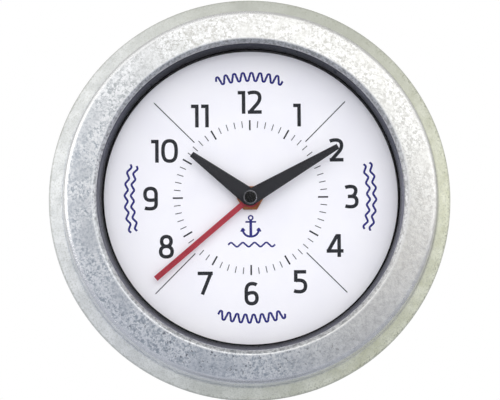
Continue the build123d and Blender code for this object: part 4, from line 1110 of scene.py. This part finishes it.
# %% Arrows, plus and minus
BACK = 1.93  # height of the movement's back above the wall
BARB = 1.5  # length of an arrow's barbs


def curved_arrow(centre, radius, start_angle, end_angle):
    """An arc round a knob with two short strokes for its head, in degrees from +X."""
    places = []
    for step in range(9):
        angle = radians(start_angle + (end_angle - start_angle) * step / 8)
        places.append((centre[0] + radius * cos(angle), centre[1] + radius * sin(angle)))
    strokes = [pen_stroke(places, 0.55, base=BACK, soft=True)]
    sense = 1 if end_angle > start_angle else -1
    tip = places[-1]
    for side in (145, -145):
        turn = radians(end_angle + sense * 90 + side)
        barb = (tip[0] + BARB * cos(turn), tip[1] + BARB * sin(turn))
        strokes.append(pen_stroke([tip, barb], 0.5, base=BACK))
    return strokes


marks = curved_arrow((0.0, -10.0), radius=7.6, start_angle=205, end_angle=335)
marks += curved_arrow((-12.3, 12.3), radius=6.1, start_angle=60, end_angle=170)
marks += [pen_stroke(stroke, 0.5, base=BACK) for stroke in (
    [(-22.5, -19.4), (-20.1, -19.4)],
    [(20.1, -19.4), (22.5, -19.4)], [(21.3, -20.5), (21.3, -18.3)],
)]
stamped = joined("stamped_marks", marks)
stand_up(stamped)
smooth(stamped, INKED)
finish(stamped, "case", knob_cream, "movement_plastic")

# %% [markdown]
# ## Inside the movement
#
# The works are hidden unless the back is off, so their solids stay and only get real
# finishes: milky moulded wheels, brass, steel, ferrite, enamelled wire, brown board.

# %% Finishes of the works
wheel_white = painted(
    "wheel_milky_plastic", (214, 212, 202), (232, 230, 222), 3.0, 0.42, texture=0.008
)
plain_brass = painted(
    "turned_brass", (176, 140, 74), (208, 174, 104), 2.5, 0.3, metallic=0.95, texture=0.01
)
arbor_steel = painted(
    "arbor_bright_steel", (150, 152, 156), (188, 190, 194), 1.5, 0.25, metallic=1.0
)
core_steel = painted(
    "core_grey_steel", (112, 116, 122), (146, 150, 156), 3.0, 0.4, metallic=0.9, texture=0.01
)
ferrite = painted(
    "magnet_grey_ferrite", (46, 47, 50), (62, 63, 67), 1.0, 0.5, metallic=0.3, texture=0.02,
    texture_size=0.2,
)
board_brown = painted(
    "board_brown_laminate", (112, 72, 38), (134, 90, 52), 2.0, 0.5, texture=0.01
)
resin_black = painted("chip_black_resin", (14, 14, 15), (24, 24, 25), 1.5, 0.22, texture=0.02)
can_steel = painted(
    "crystal_bright_can", (172, 174, 178), (206, 208, 210), 1.5, 0.22, metallic=1.0
)
spring_steel = painted(
    "contact_nickel_steel", (168, 168, 164), (204, 204, 200), 2.0, 0.28, metallic=1.0,
    texture=0.008,
)

coil_wire, shader, place = new_finish("coil_enamelled_wire", Metallic=0.85)
inputs = {"Vector": place, "Scale": 1.6, "Distortion": 0.4}
turns = place.node("ShaderNodeTexWave", {"bands_direction": "X"}, inputs)
wound = place.node("ShaderNodeSeparateColor", None, {0: turns})
feed(shader, "Base Color", wound.tint(colour(112, 52, 26), colour(196, 112, 62)))
feed(shader, "Roughness", 0.3 + 0.1 * noise(place, 0.8))
bump(shader, wound, 0.05)

# %% Dress the works
works = {
    wheel_white: (
        "centre_wheel", "minute_wheel", "hour_wheel", "tide_drive_gear", "tide_idler",
        "tide_wheel", "third_wheel", "fourth_wheel", "fifth_wheel", "rotor_pinion", "coil_bobbin",
    ),
    plain_brass: ("threaded_bushing", "brass_washer"),
    seal_black: ("lens_gasket", "rubber_washer"),
    movement_black: ("middle_plate",),
    arbor_steel: ("minute_arbor",), core_steel: ("stator",), ferrite: ("rotor_magnet",),
    coil_wire: ("coil_winding",), board_brown: ("circuit_board",), resin_black: ("control_chip",),
    can_steel: ("quartz_crystal",), spring_steel: ("negative_contact", "positive_contact"),
}
for finish_of, names in works.items():
    for name in names:
        dress_node(name, finish_of)
print("dressed:", sum(len(names) for names in works.values()), "works")

# %% [markdown]
# ## Studio
#
# A plain pale floor lies well below the clock, and one broad soft lamp hangs above, in
# front and to the right. Metal shows its surroundings more than its own colour, so the
# world is white only to the camera. What the metal and the glass see is a soft studio,
# bright at both sides and grey in between, and the floor is greyer to them too. In what the
# metal mirrors, the floor is painted darker near the clock, a painted shadow.

# %% Floor and lamp
deselect_all()
bpy.ops.mesh.primitive_plane_add(size=6.0, location=(0, 0, -0.34))
floor = bpy.context.object
floor.name = "floor"
floor_paint, shader, place = new_finish("floor_paint", Roughness=0.9)
# Painted shadow: to mirror rays the floor is painted darker near the clock
shadowed_floor_in_metal = distance(place).ramp(90, 220).tint(colour(112, 115, 123), colour(152, 156, 166))
glossy_ray = place.node("ShaderNodeLightPath", out="Is Glossy Ray")
camera_ray = place.node("ShaderNodeLightPath", out="Is Camera Ray")
unseen = laid(glossy_ray, colour(196, 199, 206), shadowed_floor_in_metal)
feed(shader, "Base Color", laid(camera_ray, unseen, colour(236, 238, 241)))
floor.data.materials.append(floor_paint)

lamp_data = bpy.data.lights.new("overhead_lamp", "AREA")
lamp_data.shape, lamp_data.size, lamp_data.size_y = "RECTANGLE", 2.0, 1.4
lamp_data.energy = 6.4
lamp = bpy.data.objects.new("overhead_lamp", lamp_data)
bpy.context.scene.collection.objects.link(lamp)
lamp.location = (0.45, -1.35, 1.05)
lamp.rotation_euler = (-lamp.location).to_track_quat("-Z", "Y").to_euler()
lamp.visible_camera = False
print("floor", floor.dimensions[0], "m wide, lamp", lamp_data.energy, "W")

# %% World
FILL = 1.22  # light from all round on what isn't mirrored
world = bpy.data.worlds.new("studio")
bpy.context.scene.world = world
world.use_nodes = True
tree = world.node_tree
start = Wire(tree)
towards = start.node("ShaderNodeTexCoord", out="Generated")


def glow(azimuth, elevation, width, strength):
    """A soft bright patch of the studio, width degrees from its middle to half strength."""
    turn, rise = radians(azimuth), radians(elevation)
    inputs = {0: towards, 1: (sin(turn) * cos(rise), -cos(turn) * cos(rise), sin(rise))}
    near = start.node("ShaderNodeVectorMath", {"operation": "DOT_PRODUCT"}, inputs, out="Value")
    return near.sum("MAXIMUM", near, 0.0) ** (log(0.5) / log(cos(radians(width)))) * strength


shade = 0.5 + glow(4, 33, 28, 0.10) + glow(-75, 0, 26, 1.45)
shade = shade + glow(68, -6, 30, 1.25) + glow(-48, 44, 22, 0.42)
camera_ray, glossy_ray, glass_ray = [
    start.node("ShaderNodeLightPath", out=name)
    for name in ("Is Camera Ray", "Is Glossy Ray", "Is Transmission Ray")
]
mirrored = start.sum("MINIMUM", glossy_ray + glass_ray, 1.0)
strength = FILL + (1 - FILL) * camera_ray + mirrored * (shade - FILL)
background = tree.nodes["Background"]
background.inputs["Color"].default_value = (1, 1, 1, 1)
tree.links.new(strength.socket, background.inputs["Strength"])

# %% [markdown]
# ## Camera
#
# The photograph was taken from nearly straight ahead, a little from below and from a few
# metres away, so a long lens stands two metres off and is rolled by half a degree.

# %% Camera
AZIMUTH, ELEVATION, ROLL = radians(0.9), radians(4.4), radians(-0.55)
DISTANCE = 2.0
camera_data = bpy.data.cameras.new("camera")
camera_data.lens, camera_data.sensor_width = 263.0, 36.0
camera_data.clip_end = 50
camera = bpy.data.objects.new("camera", camera_data)
bpy.context.scene.collection.objects.link(camera)
aim = Vector((0.0001, -0.0086, -0.0001))  # the middle of the picture, in metres
direction = Vector((-sin(AZIMUTH), -cos(ELEVATION), -sin(ELEVATION))).normalized()
camera.location = aim + direction * DISTANCE
camera.rotation_euler = (-direction).to_track_quat("-Z", "Y").to_euler()
camera.rotation_euler.rotate_axis("Z", ROLL)
bpy.context.scene.camera = camera
bpy.context.scene.view_settings.view_transform = "Standard"
print("camera at", [round(c, 3) for c in camera.location])
